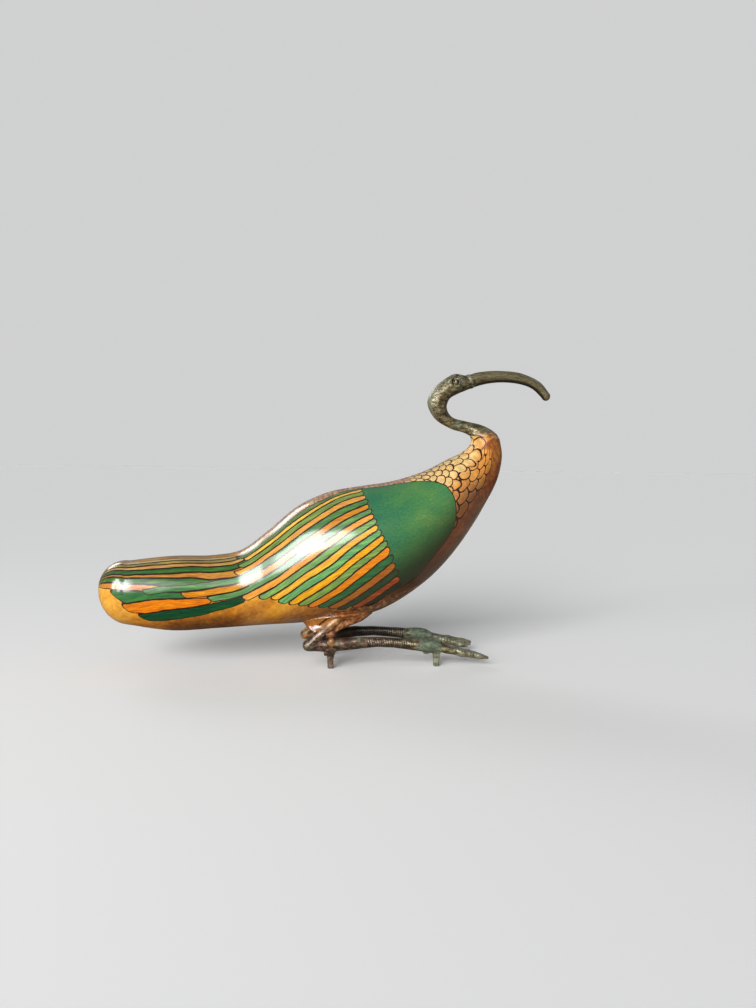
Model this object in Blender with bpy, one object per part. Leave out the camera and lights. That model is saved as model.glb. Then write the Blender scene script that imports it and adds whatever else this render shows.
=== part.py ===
"""A crouching ibis: a carved and painted wooden body on cast bronze legs, with a cast neck and head.

The bird faces +X and is symmetric about the plane y = 0. It rests on four short pegs, two under
each leg. Every form is a loft through sections that are drawn in the side view: a section runs
from one point of the outline to the point across from it, and is as wide as its half width says.
"""
import math

import bmesh
import bpy
import numpy as np
from mathutils import Matrix

MM = 0.001

# Sizes of the wooden body
BODY_LENGTH = 350 * MM       # tail end to the front of the breast
BODY_HEIGHT = 172 * MM       # lowest line of the belly to the top of the wooden neck
BODY_WIDTH = 95 * MM         # across the folded wings
TAIL_TILT = 0.12             # rise of the rounded tail end over its length

# Sizes of the cast neck, head and bill
CREST_RISE = 60 * MM         # top of the wooden neck to the crown of the bill
NECK_BACKSET = 53.5 * MM     # middle of the neck joint back to the rear of the neck bend
BILL_REACH = 61 * MM         # middle of the neck joint forward to the end of the bill
HEAD_WIDTH = 17 * MM
BILL_TIP = 4.8 * MM          # length of the rounded end of the bill
BILL_GROOVE = 0.7 * MM       # depth of the line between the two halves of the bill
EYE_RING = 8.4 * MM          # outer diameter of the raised ring round each eye
EYE_RIM = 1.5 * MM           # thickness of that ring
EYE_BALL = 4.6 * MM

# Sizes of the cast legs
LEG_SPREAD = 45 * MM         # middle of one leg to the middle of the other
PEG_HEIGHT = 14.5 * MM       # support to the underside of the leg over the rear peg
PEG_SPACING = 92.6 * MM      # rear peg to front peg
PEG_FOOT = 4.6 * MM          # side of a peg's square underside
PEG_ROOT = 6.6 * MM          # side of a peg where it meets the leg
TARSUS_DEPTH = 11.3 * MM     # over the rear peg
TARSUS_WAIST = 8.7 * MM      # at its thinnest, half way to the foot
TARSUS_ARCH = 1.9 * MM       # rise of its middle over its rear
FOOT_DEPTH = 12.2 * MM       # at the knuckle over the front peg
FOOT_DROP = 2.8 * MM         # middle of the knuckle under the middle of the rear
HEEL_LENGTH = 19 * MM        # rear peg back to the middle of the hock
HOCK_DEPTH = 9.4 * MM
SHANK_DEPTH = 8.4 * MM
SHANK_RUN = 35 * MM          # middle of the hock forward to the shank's buried end
SHANK_RISE = 33 * MM         # middle of the hock up to the shank's buried end
SHANK_LEAN = 3.5 * MM        # how far the shank leans in towards the body
TOE_LENGTH = 45 * MM         # knuckle to the end of the longest toe
TOE_DEPTH = 8.2 * MM
TOE_SPLAY = 8 * MM           # sideways reach of the outer and inner toe
TOE_DROP = 9 * MM            # middle of the knuckle down to the middle of a toe's end

# How the pieces meet
JOINT_GAP = 0.3 * MM         # between pieces that touch
BELLY_OVER_TARSUS = 4.2 * MM
REAR_PEG_SHARE = 0.5585      # rear peg's place along the body, from the tail

# Places that follow from the sizes
LEG_Y = LEG_SPREAD / 2
TARSUS_Z = PEG_HEIGHT + TARSUS_DEPTH / 2
BELLY_Z = PEG_HEIGHT + TARSUS_DEPTH + BELLY_OVER_TARSUS
REAR_PEG_X = REAR_PEG_SHARE * BODY_LENGTH
FRONT_PEG_X = REAR_PEG_X + PEG_SPACING
HOCK_X = REAR_PEG_X - HEEL_LENGTH

# Body sections from tail to neck, as shares of BODY_LENGTH, BODY_HEIGHT and BODY_WIDTH:
# back point along and up, belly point along and up, width, and how square the section is
BODY_SECTIONS = (
    (0.069, 0.352, 0.069, 0.038, 0.56, 2.3),
    (0.175, 0.375, 0.175, 0.006, 0.66, 2.3),
    (0.275, 0.379, 0.281, 0.014, 0.68, 2.3),
    (0.337, 0.402, 0.349, 0.022, 0.71, 2.25),
    (0.404, 0.500, 0.429, 0.031, 0.79, 2.2),
    (0.475, 0.623, 0.517, 0.040, 0.89, 2.15),
    (0.554, 0.701, 0.612, 0.058, 0.97, 2.1),
    (0.635, 0.733, 0.690, 0.101, 1, 2.1),
    (0.715, 0.760, 0.769, 0.194, 0.97, 2.1),
    (0.798, 0.814, 0.841, 0.319, 0.87, 2.05),
    (0.859, 0.877, 0.903, 0.476, 0.72, 2),
    (0.892, 0.910, 0.952, 0.634, 0.54, 2),
    (0.914, 0.947, 0.990, 0.792, 0.4, 2),
    (0.919, 0.978, 0.999, 0.907, 0.33, 2),
    (0.916, 0.999, 0.993, 0.981, 0.285, 2),
)

# Sections of the cast neck and head from the middle of the neck joint. Places behind it are
# shares of NECK_BACKSET, places before it shares of BILL_REACH, heights shares of CREST_RISE:
# outer point along and up, inner point along and up, width as a share of HEAD_WIDTH
NECK_SECTIONS = (
    (-0.280, 0.036, 0.172, 0.058, 1.45),
    (-0.305, 0.046, 0.068, 0.137, 1.18),
    (-0.335, 0.055, -0.090, 0.200, 0.90),
    (-0.390, 0.073, -0.250, 0.232, 0.72),
    (-0.614, 0.131, -0.532, 0.288, 0.64),
    (-0.872, 0.274, -0.640, 0.380, 0.80),
    (-0.998, 0.504, -0.658, 0.480, 0.94),
    (-0.926, 0.680, -0.614, 0.566, 0.97),
    (-0.735, 0.846, -0.489, 0.636, 1.00),
    (-0.547, 0.936, -0.369, 0.683, 0.99),
    (-0.362, 0.924, -0.268, 0.721, 0.82),
    (-0.156, 0.970, -0.119, 0.773, 0.66),
    (0.232, 1.003, 0.216, 0.829, 0.55),
    (0.578, 0.962, 0.535, 0.806, 0.48),
    (0.830, 0.843, 0.716, 0.739, 0.44),
    (0.977, 0.680, 0.855, 0.640, 0.41),
)
GROOVED_FROM = -0.16         # the bill's groove starts here, on the same scale
EYE_ALONG, EYE_UP = -0.550, 0.812
EYE_OUT = 0.47               # share of HEAD_WIDTH from the mid plane to the middle of a ring

# Thigh sections from the belly down, in shares of BODY_LENGTH from the rear peg, as
# front point, back point, height over the tarsus, half width, and distance from the mid plane
THIGH_SECTIONS = (
    (0.098, -0.052, 0.094, 0.028, 0.038),
    (0.097, -0.057, 0.060, 0.029, 0.039),
    (0.086, -0.058, 0.041, 0.026, 0.041),
    (0.060, -0.057, 0.029, 0.022, 0.046),
    (0.032, -0.054, 0.020, 0.019, 0.052),
    (0.017, -0.044, 0.014, 0.016, 0.057),
    (0.013, -0.018, 0.010, 0.0145, 0.059),
    (0.012, -0.012, 0.006, 0.013, 0.060),
)
THIGH_TIP = 2.2 * MM

# Along a toe from the middle of the knuckle, and its depth there as a share of TOE_DEPTH
TOE_SWELLS = ((-0.06, 0.9), (0.20, 1.0), (0.42, 0.8), (0.62, 0.86), (0.85, 0.62), (1.0, 0.4))
TOES = ((1, 1.0), (0, 0.94), (-1, 0.84))    # sideways direction and length of each toe

# How finely the lofts are cut: distance between sections, and points round a section
BODY_STEP = 9.5 * MM
BODY_SIDES = 32
THIGH_STEP = 3.5 * MM
THIGH_SIDES = 20
NECK_STEP = 6 * MM
NECK_SIDES = 20
LEG_STEP = 9 * MM
LEG_SIDES = 12


def start_clean():
    """Remove every object and leave one collection for the pieces and one for their tools."""
    for thing in list(bpy.data.objects):
        bpy.data.objects.remove(thing, do_unlink=True)
    pieces = bpy.data.collections.new("ibis_sculpture")
    tools = bpy.data.collections.new("joining_and_cutting_tools")
    bpy.context.scene.collection.children.link(pieces)
    bpy.context.scene.collection.children.link(tools)
    return pieces, tools


def make_material(name, colour, roughness, metallic):
    material = bpy.data.materials.new(name)
    material.use_nodes = True
    shader = material.node_tree.nodes["Principled BSDF"]
    shader.inputs["Base Color"].default_value = (*colour, 1)
    shader.inputs["Roughness"].default_value = roughness
    shader.inputs["Metallic"].default_value = metallic
    material.diffuse_color = (*colour, 1)
    return material


def smooth_sections(sections, step):
    """Sections about every step along a cubic curve through the given ones."""
    table = np.array(sections, float)
    middles = (table[:, 0:2] + table[:, 2:4]) / 2
    spans = np.linalg.norm(np.diff(middles, axis=0), axis=1)
    reach = np.concatenate([[0], np.cumsum(spans)])
    slopes = np.gradient(table, reach, axis=0)
    at = np.linspace(0, reach[-1], max(3, round(reach[-1] / step) + 1))
    left = np.clip(np.searchsorted(reach, at, side="right") - 1, 0, len(table) - 2)
    span = spans[left][:, None]
    t = (at - reach[left])[:, None] / span
    from_left = (2 * t**3 - 3 * t**2 + 1) * table[left] + (t**3 - 2 * t**2 + t) * span * slopes[left]
    from_right = (3 * t**2 - 2 * t**3) * table[left + 1] + (t**3 - t**2) * span * slopes[left + 1]
    return from_left + from_right


def dome(section, along, reach, count):
    """Sections that shrink like an ellipse as they move reach further along a direction."""
    rows = []
    for step in range(1, count + 1):
        angle = math.pi / 2 * step / (count + 0.35)
        size = math.cos(angle)
        row = np.array(section, float)
        middle = (row[0:2] + row[2:4]) / 2 + np.array(along) * reach * math.sin(angle)
        half = (row[0:2] - row[2:4]) / 2 * size
        row[0:2] = middle + half
        row[2:4] = middle - half
        row[4] *= size
        rows.append(row)
    return rows


def section_ring(section, sides):
    """Points round one section: (x1, z1, x2, z2, half width, squareness, y of its middle)."""
    x1, z1, x2, z2, half_width, power, middle_y = section
    angles = np.arange(sides) * math.tau / sides
    up = np.sign(np.cos(angles)) * np.abs(np.cos(angles)) ** (2 / power)
    out = np.sign(np.sin(angles)) * np.abs(np.sin(angles)) ** (2 / power)
    x = (x1 + x2) / 2 + (x1 - x2) / 2 * up
    z = (z1 + z2) / 2 + (z1 - z2) / 2 * up
    return np.stack([x, middle_y + half_width * out, z], axis=1)


def loft(name, rings, collection):
    """Closed mesh through rings of points, with a flat end on the first and the last."""
    mesh = bmesh.new()
    rows = [[mesh.verts.new(point) for point in ring] for ring in rings]
    sides = len(rows[0])
    for low, high in zip(rows, rows[1:]):
        for side in range(sides):
            after = (side + 1) % sides
            mesh.faces.new((low[side], low[after], high[after], high[side]))
    mesh.faces.new(rows[0])
    mesh.faces.new(rows[-1])
    bmesh.ops.triangulate(mesh, faces=mesh.faces[:])
    bmesh.ops.recalc_face_normals(mesh, faces=mesh.faces[:])
    return finish_mesh(name, mesh, collection)


def finish_mesh(name, mesh, collection):
    data = bpy.data.meshes.new(name)
    mesh.to_mesh(data)
    mesh.free()
    data.shade_smooth()
    data.set_sharp_from_angle(angle=math.radians(40))
    piece = bpy.data.objects.new(name, data)
    collection.objects.link(piece)
    return piece


def loft_sections(name, sections, sides, collection):
    return loft(name, [section_ring(section, sides) for section in sections], collection)


def tube_sections(path):
    """Sections square to a path of (x, z, depth, half width, squareness, y) points."""
    path = np.array(path, float)
    course = np.gradient(path[:, 0:2], axis=0)
    course /= np.linalg.norm(course, axis=1)[:, None]
    across = np.stack([-course[:, 1], course[:, 0]], axis=1) * path[:, 2:3] / 2
    return np.hstack([path[:, 0:2] + across, path[:, 0:2] - across, path[:, 3:6]])


def join(piece, tool, operation, tools):
    """Boolean one object into or out of another; the tool stays as a hidden wire guide."""
    change = piece.modifiers.new(operation.lower() + "_" + tool.name, "BOOLEAN")
    change.operation = operation
    change.solver = "EXACT"
    change.object = tool
    tool.hide_render = True
    tool.display_type = "WIRE"
    if tool.name not in tools.objects:
        tools.objects.link(tool)


def body_sections():
    """The body's table in metres, with the rounded tail end in front of it."""
    rows = []
    for back_x, back_z, belly_x, belly_z, width, power in BODY_SECTIONS:
        rows.append((back_x * BODY_LENGTH, BELLY_Z + back_z * BODY_HEIGHT,
                     belly_x * BODY_LENGTH, BELLY_Z + belly_z * BODY_HEIGHT,
                     width * BODY_WIDTH / 2, power, 0.0))
    sections = smooth_sections(rows, BODY_STEP)
    tail = dome(sections[0], (-1, TAIL_TILT), sections[0][0], 6)
    return np.array(tail[::-1] + list(sections))


def shank_path(side, extra=0.0):
    """Middle line of a shank, from the hock to its end inside the belly."""
    length = math.hypot(SHANK_RUN, SHANK_RISE)
    points = []
    for share in (0, 0.35, 0.7, 1 + extra / length):
        points.append((HOCK_X + SHANK_RUN * share, TARSUS_Z + SHANK_RISE * share,
                       SHANK_DEPTH + 2 * extra, SHANK_DEPTH / 2 + extra, 2.0,
                       side * (LEG_Y - SHANK_LEAN * share)))
    return points


def make_thigh(side, tools):
    """Carved lump under the belly that ends in a knob on the leg, over the rear peg."""
    rows = []
    for front, back, up, half_width, middle_y in THIGH_SECTIONS:
        z = TARSUS_Z + TARSUS_DEPTH / 2 + JOINT_GAP + THIGH_TIP + (up - THIGH_SECTIONS[-1][2]) * BODY_LENGTH
        rows.append((REAR_PEG_X + front * BODY_LENGTH, z, REAR_PEG_X + back * BODY_LENGTH, z,
                     half_width * BODY_LENGTH, 2.0, side * middle_y * BODY_LENGTH))
    sections = list(smooth_sections(rows, THIGH_STEP))
    sections += dome(sections[-1], (0, -1), THIGH_TIP, 2)
    return loft_sections("thigh_tool", sections, THIGH_SIDES, tools)


def make_body(pieces, tools, material):
    """Carved wooden body: tail, back, belly and neck in one, with a seat for each shank."""
    body = loft_sections("body", body_sections(), BODY_SIDES, pieces)
    for side in (-1, 1):
        join(body, make_thigh(side, tools), "UNION", tools)
    for side in (-1, 1):
        seat = loft_sections("shank_seat_tool", tube_sections(shank_path(side, JOINT_GAP)),
                             LEG_SIDES + 4, tools)
        join(body, seat, "DIFFERENCE", tools)
    body.data.materials.append(material)
    return body


def neck_sections():
    """Sections from the face on the wooden neck, round the bend and along the bill."""
    last = BODY_SECTIONS[-1]
    rear = np.array((last[0] * BODY_LENGTH, BELLY_Z + last[1] * BODY_HEIGHT))
    front = np.array((last[2] * BODY_LENGTH, BELLY_Z + last[3] * BODY_HEIGHT))
    across = (front - rear) / np.linalg.norm(front - rear)
    lift = np.array((-across[1], across[0])) * JOINT_GAP
    middle = (rear + front) / 2
    rows = [(*(rear + lift), *(front + lift), last[4] * BODY_WIDTH / 2, 2.0, 0.0)]

    def along(share):
        return middle[0] + share * (NECK_BACKSET if share < 0 else BILL_REACH)

    for outer_x, outer_z, inner_x, inner_z, width in NECK_SECTIONS:
        rows.append((along(outer_x), middle[1] + outer_z * CREST_RISE,
                     along(inner_x), middle[1] + inner_z * CREST_RISE,
                     width * HEAD_WIDTH / 2, 2.0, 0.0))
    sections = list(smooth_sections(rows, NECK_STEP))
    end = sections[-1]
    across_end = end[0:2] - end[2:4]
    forward = np.array((across_end[1], -across_end[0])) / np.linalg.norm(across_end)
    sections += dome(end, forward, BILL_TIP, 3)
    return np.array(sections), along, middle


def make_neck_and_head(pieces, tools, material):
    """Cast neck, head and long down-curved bill in one, with a raised ring round each eye."""
    sections, along, middle = neck_sections()
    rings = []
    groove = round(NECK_SIDES * 0.33)
    bill_top = middle[1] + 0.5 * CREST_RISE
    for section in sections:
        ring = section_ring(section, NECK_SIDES)
        if section[0] > along(GROOVED_FROM) and section[1] > bill_top:
            for column in (groove, NECK_SIDES - groove):
                inward = math.copysign(min(BILL_GROOVE, section[4] / 3), -ring[column][1])
                ring[column][1] += inward
        rings.append(ring)
    head = loft("neck_and_head", rings, pieces)
    eye_x = along(EYE_ALONG)
    eye_z = middle[1] + EYE_UP * CREST_RISE
    for side in (-1, 1):
        eye_y = side * HEAD_WIDTH * EYE_OUT
        bpy.ops.mesh.primitive_torus_add(
            major_radius=(EYE_RING - EYE_RIM) / 2, minor_radius=EYE_RIM / 2,
            major_segments=16, minor_segments=8, location=(eye_x, eye_y, eye_z),
            rotation=(math.pi / 2, 0, 0))
        rim = bpy.context.object
        bpy.ops.mesh.primitive_uv_sphere_add(
            segments=10, ring_count=7, radius=EYE_BALL / 2, location=(eye_x, eye_y, eye_z),
            rotation=(math.pi / 2, 0, 0))
        ball = bpy.context.object
        for tool, name in ((rim, "eye_rim_tool"), (ball, "eye_ball_tool")):
            tool.name = name
            for owner in list(tool.users_collection):
                owner.objects.unlink(tool)
            join(head, tool, "UNION", tools)
    head.data.materials.append(material)
    return head


def tarsus_path(side):
    """Middle line of the long lower leg, from the hock to the knuckle of the foot."""
    points = [(HOCK_X, TARSUS_Z, HOCK_DEPTH * 0.9, HOCK_DEPTH * 0.42, 2.0, side * LEG_Y)]
    for share, rise, depth, flatness in (
            (0.00, 0.0, TARSUS_DEPTH, 0.42),
            (0.16, TARSUS_ARCH * 0.4, TARSUS_DEPTH * 0.95, 0.44),
            (0.44, TARSUS_ARCH, TARSUS_WAIST, 0.50),
            (0.78, -FOOT_DROP * 0.3, TARSUS_WAIST * 1.12, 0.50),
            (1.00, -FOOT_DROP, FOOT_DEPTH, 0.52),
            (1.05, -FOOT_DROP * 1.2, FOOT_DEPTH * 0.6, 0.75)):
        points.append((REAR_PEG_X + PEG_SPACING * share, TARSUS_Z + rise,
                       depth, depth * flatness, 2.1, side * LEG_Y))
    return points


def toe_path(side, splay, reach):
    """Middle line of one toe, which drops and spreads from inside the knuckle to its end."""
    points = []
    for share, depth in TOE_SWELLS:
        ahead = max(share, 0)
        points.append((FRONT_PEG_X + TOE_LENGTH * reach * share,
                       TARSUS_Z - FOOT_DROP - TOE_DROP * ahead**0.8,
                       TOE_DEPTH * depth, TOE_DEPTH * depth * 0.42, 2.0,
                       side * (LEG_Y + TOE_SPLAY * splay * (0.2 + 0.8 * ahead))))
    return points


def make_peg(x, top_z, side, tools):
    """Square peg that tapers down to a flat foot at z = 0."""
    mesh = bmesh.new()
    bmesh.ops.create_cone(mesh, cap_ends=True, segments=4, depth=top_z,
                          radius1=PEG_FOOT / math.sqrt(2), radius2=PEG_ROOT / math.sqrt(2))
    bmesh.ops.rotate(mesh, verts=mesh.verts[:], cent=(0, 0, 0),
                     matrix=Matrix.Rotation(math.radians(45), 3, "Z"))
    bmesh.ops.translate(mesh, verts=mesh.verts[:], vec=(x, side * LEG_Y, top_z / 2))
    upright = [edge for edge in mesh.edges if abs(edge.verts[0].co.z - edge.verts[1].co.z) > top_z / 2]
    bmesh.ops.bevel(mesh, geom=upright, offset=PEG_FOOT * 0.16, segments=1, affect="EDGES")
    return finish_mesh("peg_tool", mesh, tools)


def make_leg(name, side, pieces, tools, material):
    """Cast leg: shank, hock, long lower leg, knuckle, three toes and two pegs, all one metal."""
    leg = loft_sections(name, smooth_sections(tube_sections(tarsus_path(side)), LEG_STEP),
                        LEG_SIDES, pieces)
    parts = [loft_sections("shank_tool", tube_sections(shank_path(side)), LEG_SIDES + 2, tools)]
    for splay, reach in TOES:
        toe = smooth_sections(tube_sections(toe_path(side, splay, reach)), LEG_STEP)
        parts.append(loft_sections("toe_tool", toe, LEG_SIDES - 2, tools))
    parts.append(make_peg(REAR_PEG_X, TARSUS_Z, side, tools))
    parts.append(make_peg(FRONT_PEG_X, TARSUS_Z - FOOT_DROP, side, tools))
    hock = bmesh.new()
    bmesh.ops.create_uvsphere(hock, u_segments=14, v_segments=9, radius=HOCK_DEPTH / 2)
    bmesh.ops.translate(hock, verts=hock.verts[:], vec=(HOCK_X, side * LEG_Y, TARSUS_Z))
    parts.append(finish_mesh("hock_tool", hock, tools))
    for part in parts:
        join(leg, part, "UNION", tools)
    leg.data.materials.append(material)
    return leg


def centre_over_origin(parts):
    """Parent the pieces to an empty that puts the middle of their footprint on the origin."""
    graph = bpy.context.evaluated_depsgraph_get()
    lows, highs = [], []
    for part in parts:
        data = part.evaluated_get(graph).to_mesh()
        places = np.empty(len(data.vertices) * 3, dtype=np.float32)
        data.vertices.foreach_get("co", places)
        lows.append(places.reshape(-1, 3).min(axis=0))
        highs.append(places.reshape(-1, 3).max(axis=0))
    low = np.min(lows, axis=0)
    high = np.max(highs, axis=0)
    stand = bpy.data.objects.new("stand_centre", None)
    bpy.context.scene.collection.objects.link(stand)
    stand.location = (-(low[0] + high[0]) / 2, 0, -low[2])
    return stand


def main():
    pieces, tools = start_clean()
    painted_wood = make_material("painted_wood", (0.72, 0.42, 0.10), 0.25, 0.0)
    bronze = make_material("bronze", (0.27, 0.24, 0.15), 0.45, 0.85)
    parts = [
        make_body(pieces, tools, painted_wood),
        make_neck_and_head(pieces, tools, bronze),
        make_leg("left_leg", 1, pieces, tools, bronze),
        make_leg("right_leg", -1, pieces, tools, bronze),
    ]
    stand = centre_over_origin(parts)
    for thing in list(pieces.objects) + list(tools.objects):
        thing.parent = stand


main()
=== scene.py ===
"""The ibis sculpture dressed: a painted and lacquered wooden body on cast bronze legs, with a cast
bronze neck, head and bill. Lengths are in millimetres until a mesh is written, in metres."""
import math
from functools import partialmethod, reduce

import bpy
import numpy as np
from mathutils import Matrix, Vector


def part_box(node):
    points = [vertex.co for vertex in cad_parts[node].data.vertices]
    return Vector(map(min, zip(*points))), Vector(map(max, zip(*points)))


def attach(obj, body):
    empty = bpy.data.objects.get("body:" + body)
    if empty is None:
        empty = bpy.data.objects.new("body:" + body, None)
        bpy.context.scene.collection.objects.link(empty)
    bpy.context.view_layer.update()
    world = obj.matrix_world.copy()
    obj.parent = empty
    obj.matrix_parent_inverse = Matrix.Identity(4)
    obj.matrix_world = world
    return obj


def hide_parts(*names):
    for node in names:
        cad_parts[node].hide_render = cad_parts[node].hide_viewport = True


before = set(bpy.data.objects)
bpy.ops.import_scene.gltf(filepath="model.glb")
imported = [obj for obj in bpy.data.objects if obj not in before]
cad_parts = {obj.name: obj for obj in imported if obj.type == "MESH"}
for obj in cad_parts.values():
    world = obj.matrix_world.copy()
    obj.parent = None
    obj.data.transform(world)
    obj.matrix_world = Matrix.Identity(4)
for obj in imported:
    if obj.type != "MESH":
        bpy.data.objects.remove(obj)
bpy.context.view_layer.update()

MM = 0.001


# The camera stands a little above the bird's back on its right side, turned slightly to the front,
# with the same lens as the photograph. Its place is measured from the middle of the footprint.
CAMERA_PLACE = (-55.7, -687.9, 178.6)
CAMERA_YAW = math.radians(8.0)       # turned towards the bill
CAMERA_PITCH = math.radians(3.16)    # tipped down
CAMERA_ROLL = math.radians(0.83)
CAMERA_LENS, CAMERA_SENSOR = 28.07, 36      # the sensor lies along the frame's long side


def place_thing(data, right, up, back, place):
    """Camera or lamp at a place, looking away from its back."""
    pose = np.eye(4)
    pose[:3, :3] = np.stack([right, up, back], axis=1)
    pose[:3, 3] = np.array(place) * MM
    thing = bpy.data.objects.new(data.name, data)
    thing.matrix_world = pose.T.tolist()
    bpy.context.scene.collection.objects.link(thing)
    return thing


def aim_camera():
    """Camera axes from yaw, pitch and roll: forward, then right square to it, then up."""
    forward = np.array((math.sin(CAMERA_YAW) * math.cos(CAMERA_PITCH),
                        math.cos(CAMERA_YAW) * math.cos(CAMERA_PITCH), -math.sin(CAMERA_PITCH)))
    level = np.array((math.cos(CAMERA_YAW), -math.sin(CAMERA_YAW), 0))
    rise = np.cross(level, forward)
    right = math.cos(CAMERA_ROLL) * level + math.sin(CAMERA_ROLL) * rise
    up = math.cos(CAMERA_ROLL) * rise - math.sin(CAMERA_ROLL) * level
    camera = bpy.data.cameras.new("camera")
    camera.lens = CAMERA_LENS
    camera.sensor_width = CAMERA_SENSOR
    bpy.context.scene.camera = place_thing(camera, right, up, -forward, CAMERA_PLACE)


aim_camera()


# A plain pale floor under the pegs and a pale room round it. The light comes in low from the front
# and the tail side, as from a large window, and leaves the long gleam on the wing. A weak light
# from behind draws a bright rim along the back, and a weak fill shapes the tail end.
FLOOR_SIDE = 30000
FLOOR_SEEN = (0.95, 0.95, 0.94)      # the paper as the camera sees it
FLOOR_BOUNCE = (0.34, 0.29, 0.22)    # and as it lights the bird from below
ROOM_SEEN = (0.630, 0.634, 0.633)    # what the camera sees of the room
ROOM_LIGHT = (0.20, 0.205, 0.21)     # what the room gives as light
# Wide lights: degrees turned from the camera's side, below 0 towards the tail, degrees up, and
# strength. Three panes of the window, then the light behind
WINDOWS = ((-37, 30, 1.2), (-28, 12, 1.1), (-18, 22, 1.1), (-150, 28, 0.45))
WINDOW_WIDTH = 23                    # degrees of sky that each of them fills
WINDOW_DISTANCE = 1500
FILL_PLACE = (-900, -620, 330)
FILL_WIDTH, FILL_HEIGHT, FILL_WATTS = 260, 420, 3.2
FILL_AIM = (0, 0, 110)


def link_seen(tree, lit, seen, entry):
    """Gives an input one colour for the camera and another for the light that falls elsewhere."""
    ray = tree.nodes.new("ShaderNodeLightPath")
    colour = tree.nodes.new("ShaderNodeMix")
    colour.data_type = "RGBA"
    tree.links.new(ray.outputs["Is Camera Ray"], colour.inputs[0])
    colour.inputs[6].default_value = (*lit, 1)
    colour.inputs[7].default_value = (*seen, 1)
    tree.links.new(colour.outputs[2], entry)


def add_floor():
    half = FLOOR_SIDE / 2 * MM
    mesh = bpy.data.meshes.new("floor")
    mesh.from_pydata([(-half, -half, 0), (half, -half, 0), (half, half, 0), (-half, half, 0)], [],
                     [(0, 1, 2, 3)])
    floor = bpy.data.objects.new("floor", mesh)
    bpy.context.scene.collection.objects.link(floor)
    paper = bpy.data.materials.new("pale_floor")
    paper.use_nodes = True
    shader = paper.node_tree.nodes["Principled BSDF"]
    shader.inputs["Roughness"].default_value = 0.9
    shader.inputs["Specular IOR Level"].default_value = 0
    link_seen(paper.node_tree, FLOOR_BOUNCE, FLOOR_SEEN, shader.inputs["Base Color"])
    mesh.materials.append(paper)


def place_lamp(lamp, back, place):
    """Lamp at a place, with its back to a direction, so that it shines the other way."""
    side = np.cross((0, 0, 1), back)
    side /= np.linalg.norm(side)
    place_thing(lamp, side, np.cross(back, side), back, place)


def add_window(turn, height, strength):
    window = bpy.data.lights.new("window_light", "SUN")
    window.angle = math.radians(WINDOW_WIDTH)
    window.energy = strength
    turn, height = math.radians(turn), math.radians(height)
    back = np.array((math.sin(turn) * math.cos(height), -math.cos(turn) * math.cos(height),
                     math.sin(height)))
    place_lamp(window, back, WINDOW_DISTANCE * back)


def add_fill():
    fill = bpy.data.lights.new("fill_light", "AREA")
    fill.shape = "RECTANGLE"
    fill.size = FILL_WIDTH * MM
    fill.size_y = FILL_HEIGHT * MM
    fill.energy = FILL_WATTS
    back = np.array(FILL_PLACE, float) - FILL_AIM
    place_lamp(fill, back / np.linalg.norm(back), FILL_PLACE)


def add_room():
    room = bpy.data.worlds.new("pale_room")
    room.use_nodes = True
    link_seen(room.node_tree, ROOM_LIGHT, ROOM_SEEN,
              room.node_tree.nodes["Background"].inputs["Color"])
    bpy.context.scene.world = room


add_floor()
for window in WINDOWS:
    add_window(*window)
add_fill()
add_room()
bpy.context.scene.view_settings.view_transform = "Standard"


# The wooden body: tail, back, folded wings, belly and the root of the neck, carved from one block.
# Two lumps under the belly are the thighs, and each ends in a knob on its leg. The skin below
# follows the solid's sections at a finer spacing, with the slight unevenness of hand carving.
BODY_LENGTH = 350
BODY_HEIGHT = 172
BODY_WIDTH = 95
TAIL_TILT = 0.12
TAIL_FLAT = 0.1              # the skin's tail ends this much before the full length
BELLY_UP = 30.0              # support to the lowest line of the belly
JOINT_GAP = 0.3              # between the thigh's knob and the lower leg
BODY_STEP = 1.25
BODY_COLUMNS = 232
TAIL_ROWS = 26
CARVING_DEPTH = 0.35         # how far the knife went in here and there
CARVING_LENGTH = 60          # and how far apart
ROUND = 2.0                  # squareness of a round section

# Sections from tail to neck as shares of length, height and width: back point along and up, belly
# point along and up, width, and how square the section is
BODY_SECTIONS = (
    (0.069, 0.352, 0.069, 0.038, 0.56, 2.3),
    (0.175, 0.375, 0.175, 0.006, 0.66, 2.3),
    (0.275, 0.379, 0.281, 0.014, 0.68, 2.3),
    (0.337, 0.402, 0.349, 0.022, 0.71, 2.25),
    (0.404, 0.500, 0.429, 0.031, 0.79, 2.2),
    (0.475, 0.623, 0.517, 0.040, 0.89, 2.15),
    (0.554, 0.701, 0.612, 0.058, 0.97, 2.1),
    (0.635, 0.733, 0.690, 0.101, 1, 2.1),
    (0.715, 0.760, 0.769, 0.194, 0.97, 2.1),
    (0.798, 0.814, 0.841, 0.319, 0.87, 2.05),
    (0.859, 0.877, 0.903, 0.476, 0.72, 2),
    (0.892, 0.910, 0.952, 0.634, 0.54, 2),
    (0.914, 0.947, 0.990, 0.792, 0.4, 2),
    (0.919, 0.978, 0.999, 0.907, 0.33, 2),
    (0.916, 0.999, 0.993, 0.981, 0.285, 2),
)
TAIL_FACET = 0.09            # the solid's flat last facet lies this much inside the curve
TAIL_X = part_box("body")[0][0] / MM - TAIL_FACET


def through(places, values, at):
    """Cubic Hermite curve through values at rising places, read at other places; its slope at
    each place is the central difference."""
    places = np.asarray(places, float)
    values = np.asarray(values, float)
    slopes = np.gradient(values, places, axis=0)
    left = np.clip(np.searchsorted(places, at, side="right") - 1, 0, len(places) - 2)
    span = (places[left + 1] - places[left])[:, None]
    t = np.clip((at - places[left])[:, None] / span, 0, 1)
    return ((2 * t**3 - 3 * t**2 + 1) * values[left] + (t**3 - 2 * t**2 + t) * span * slopes[left]
            + (3 * t**2 - 2 * t**3) * values[left + 1] + (t**3 - t**2) * span * slopes[left + 1])


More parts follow.
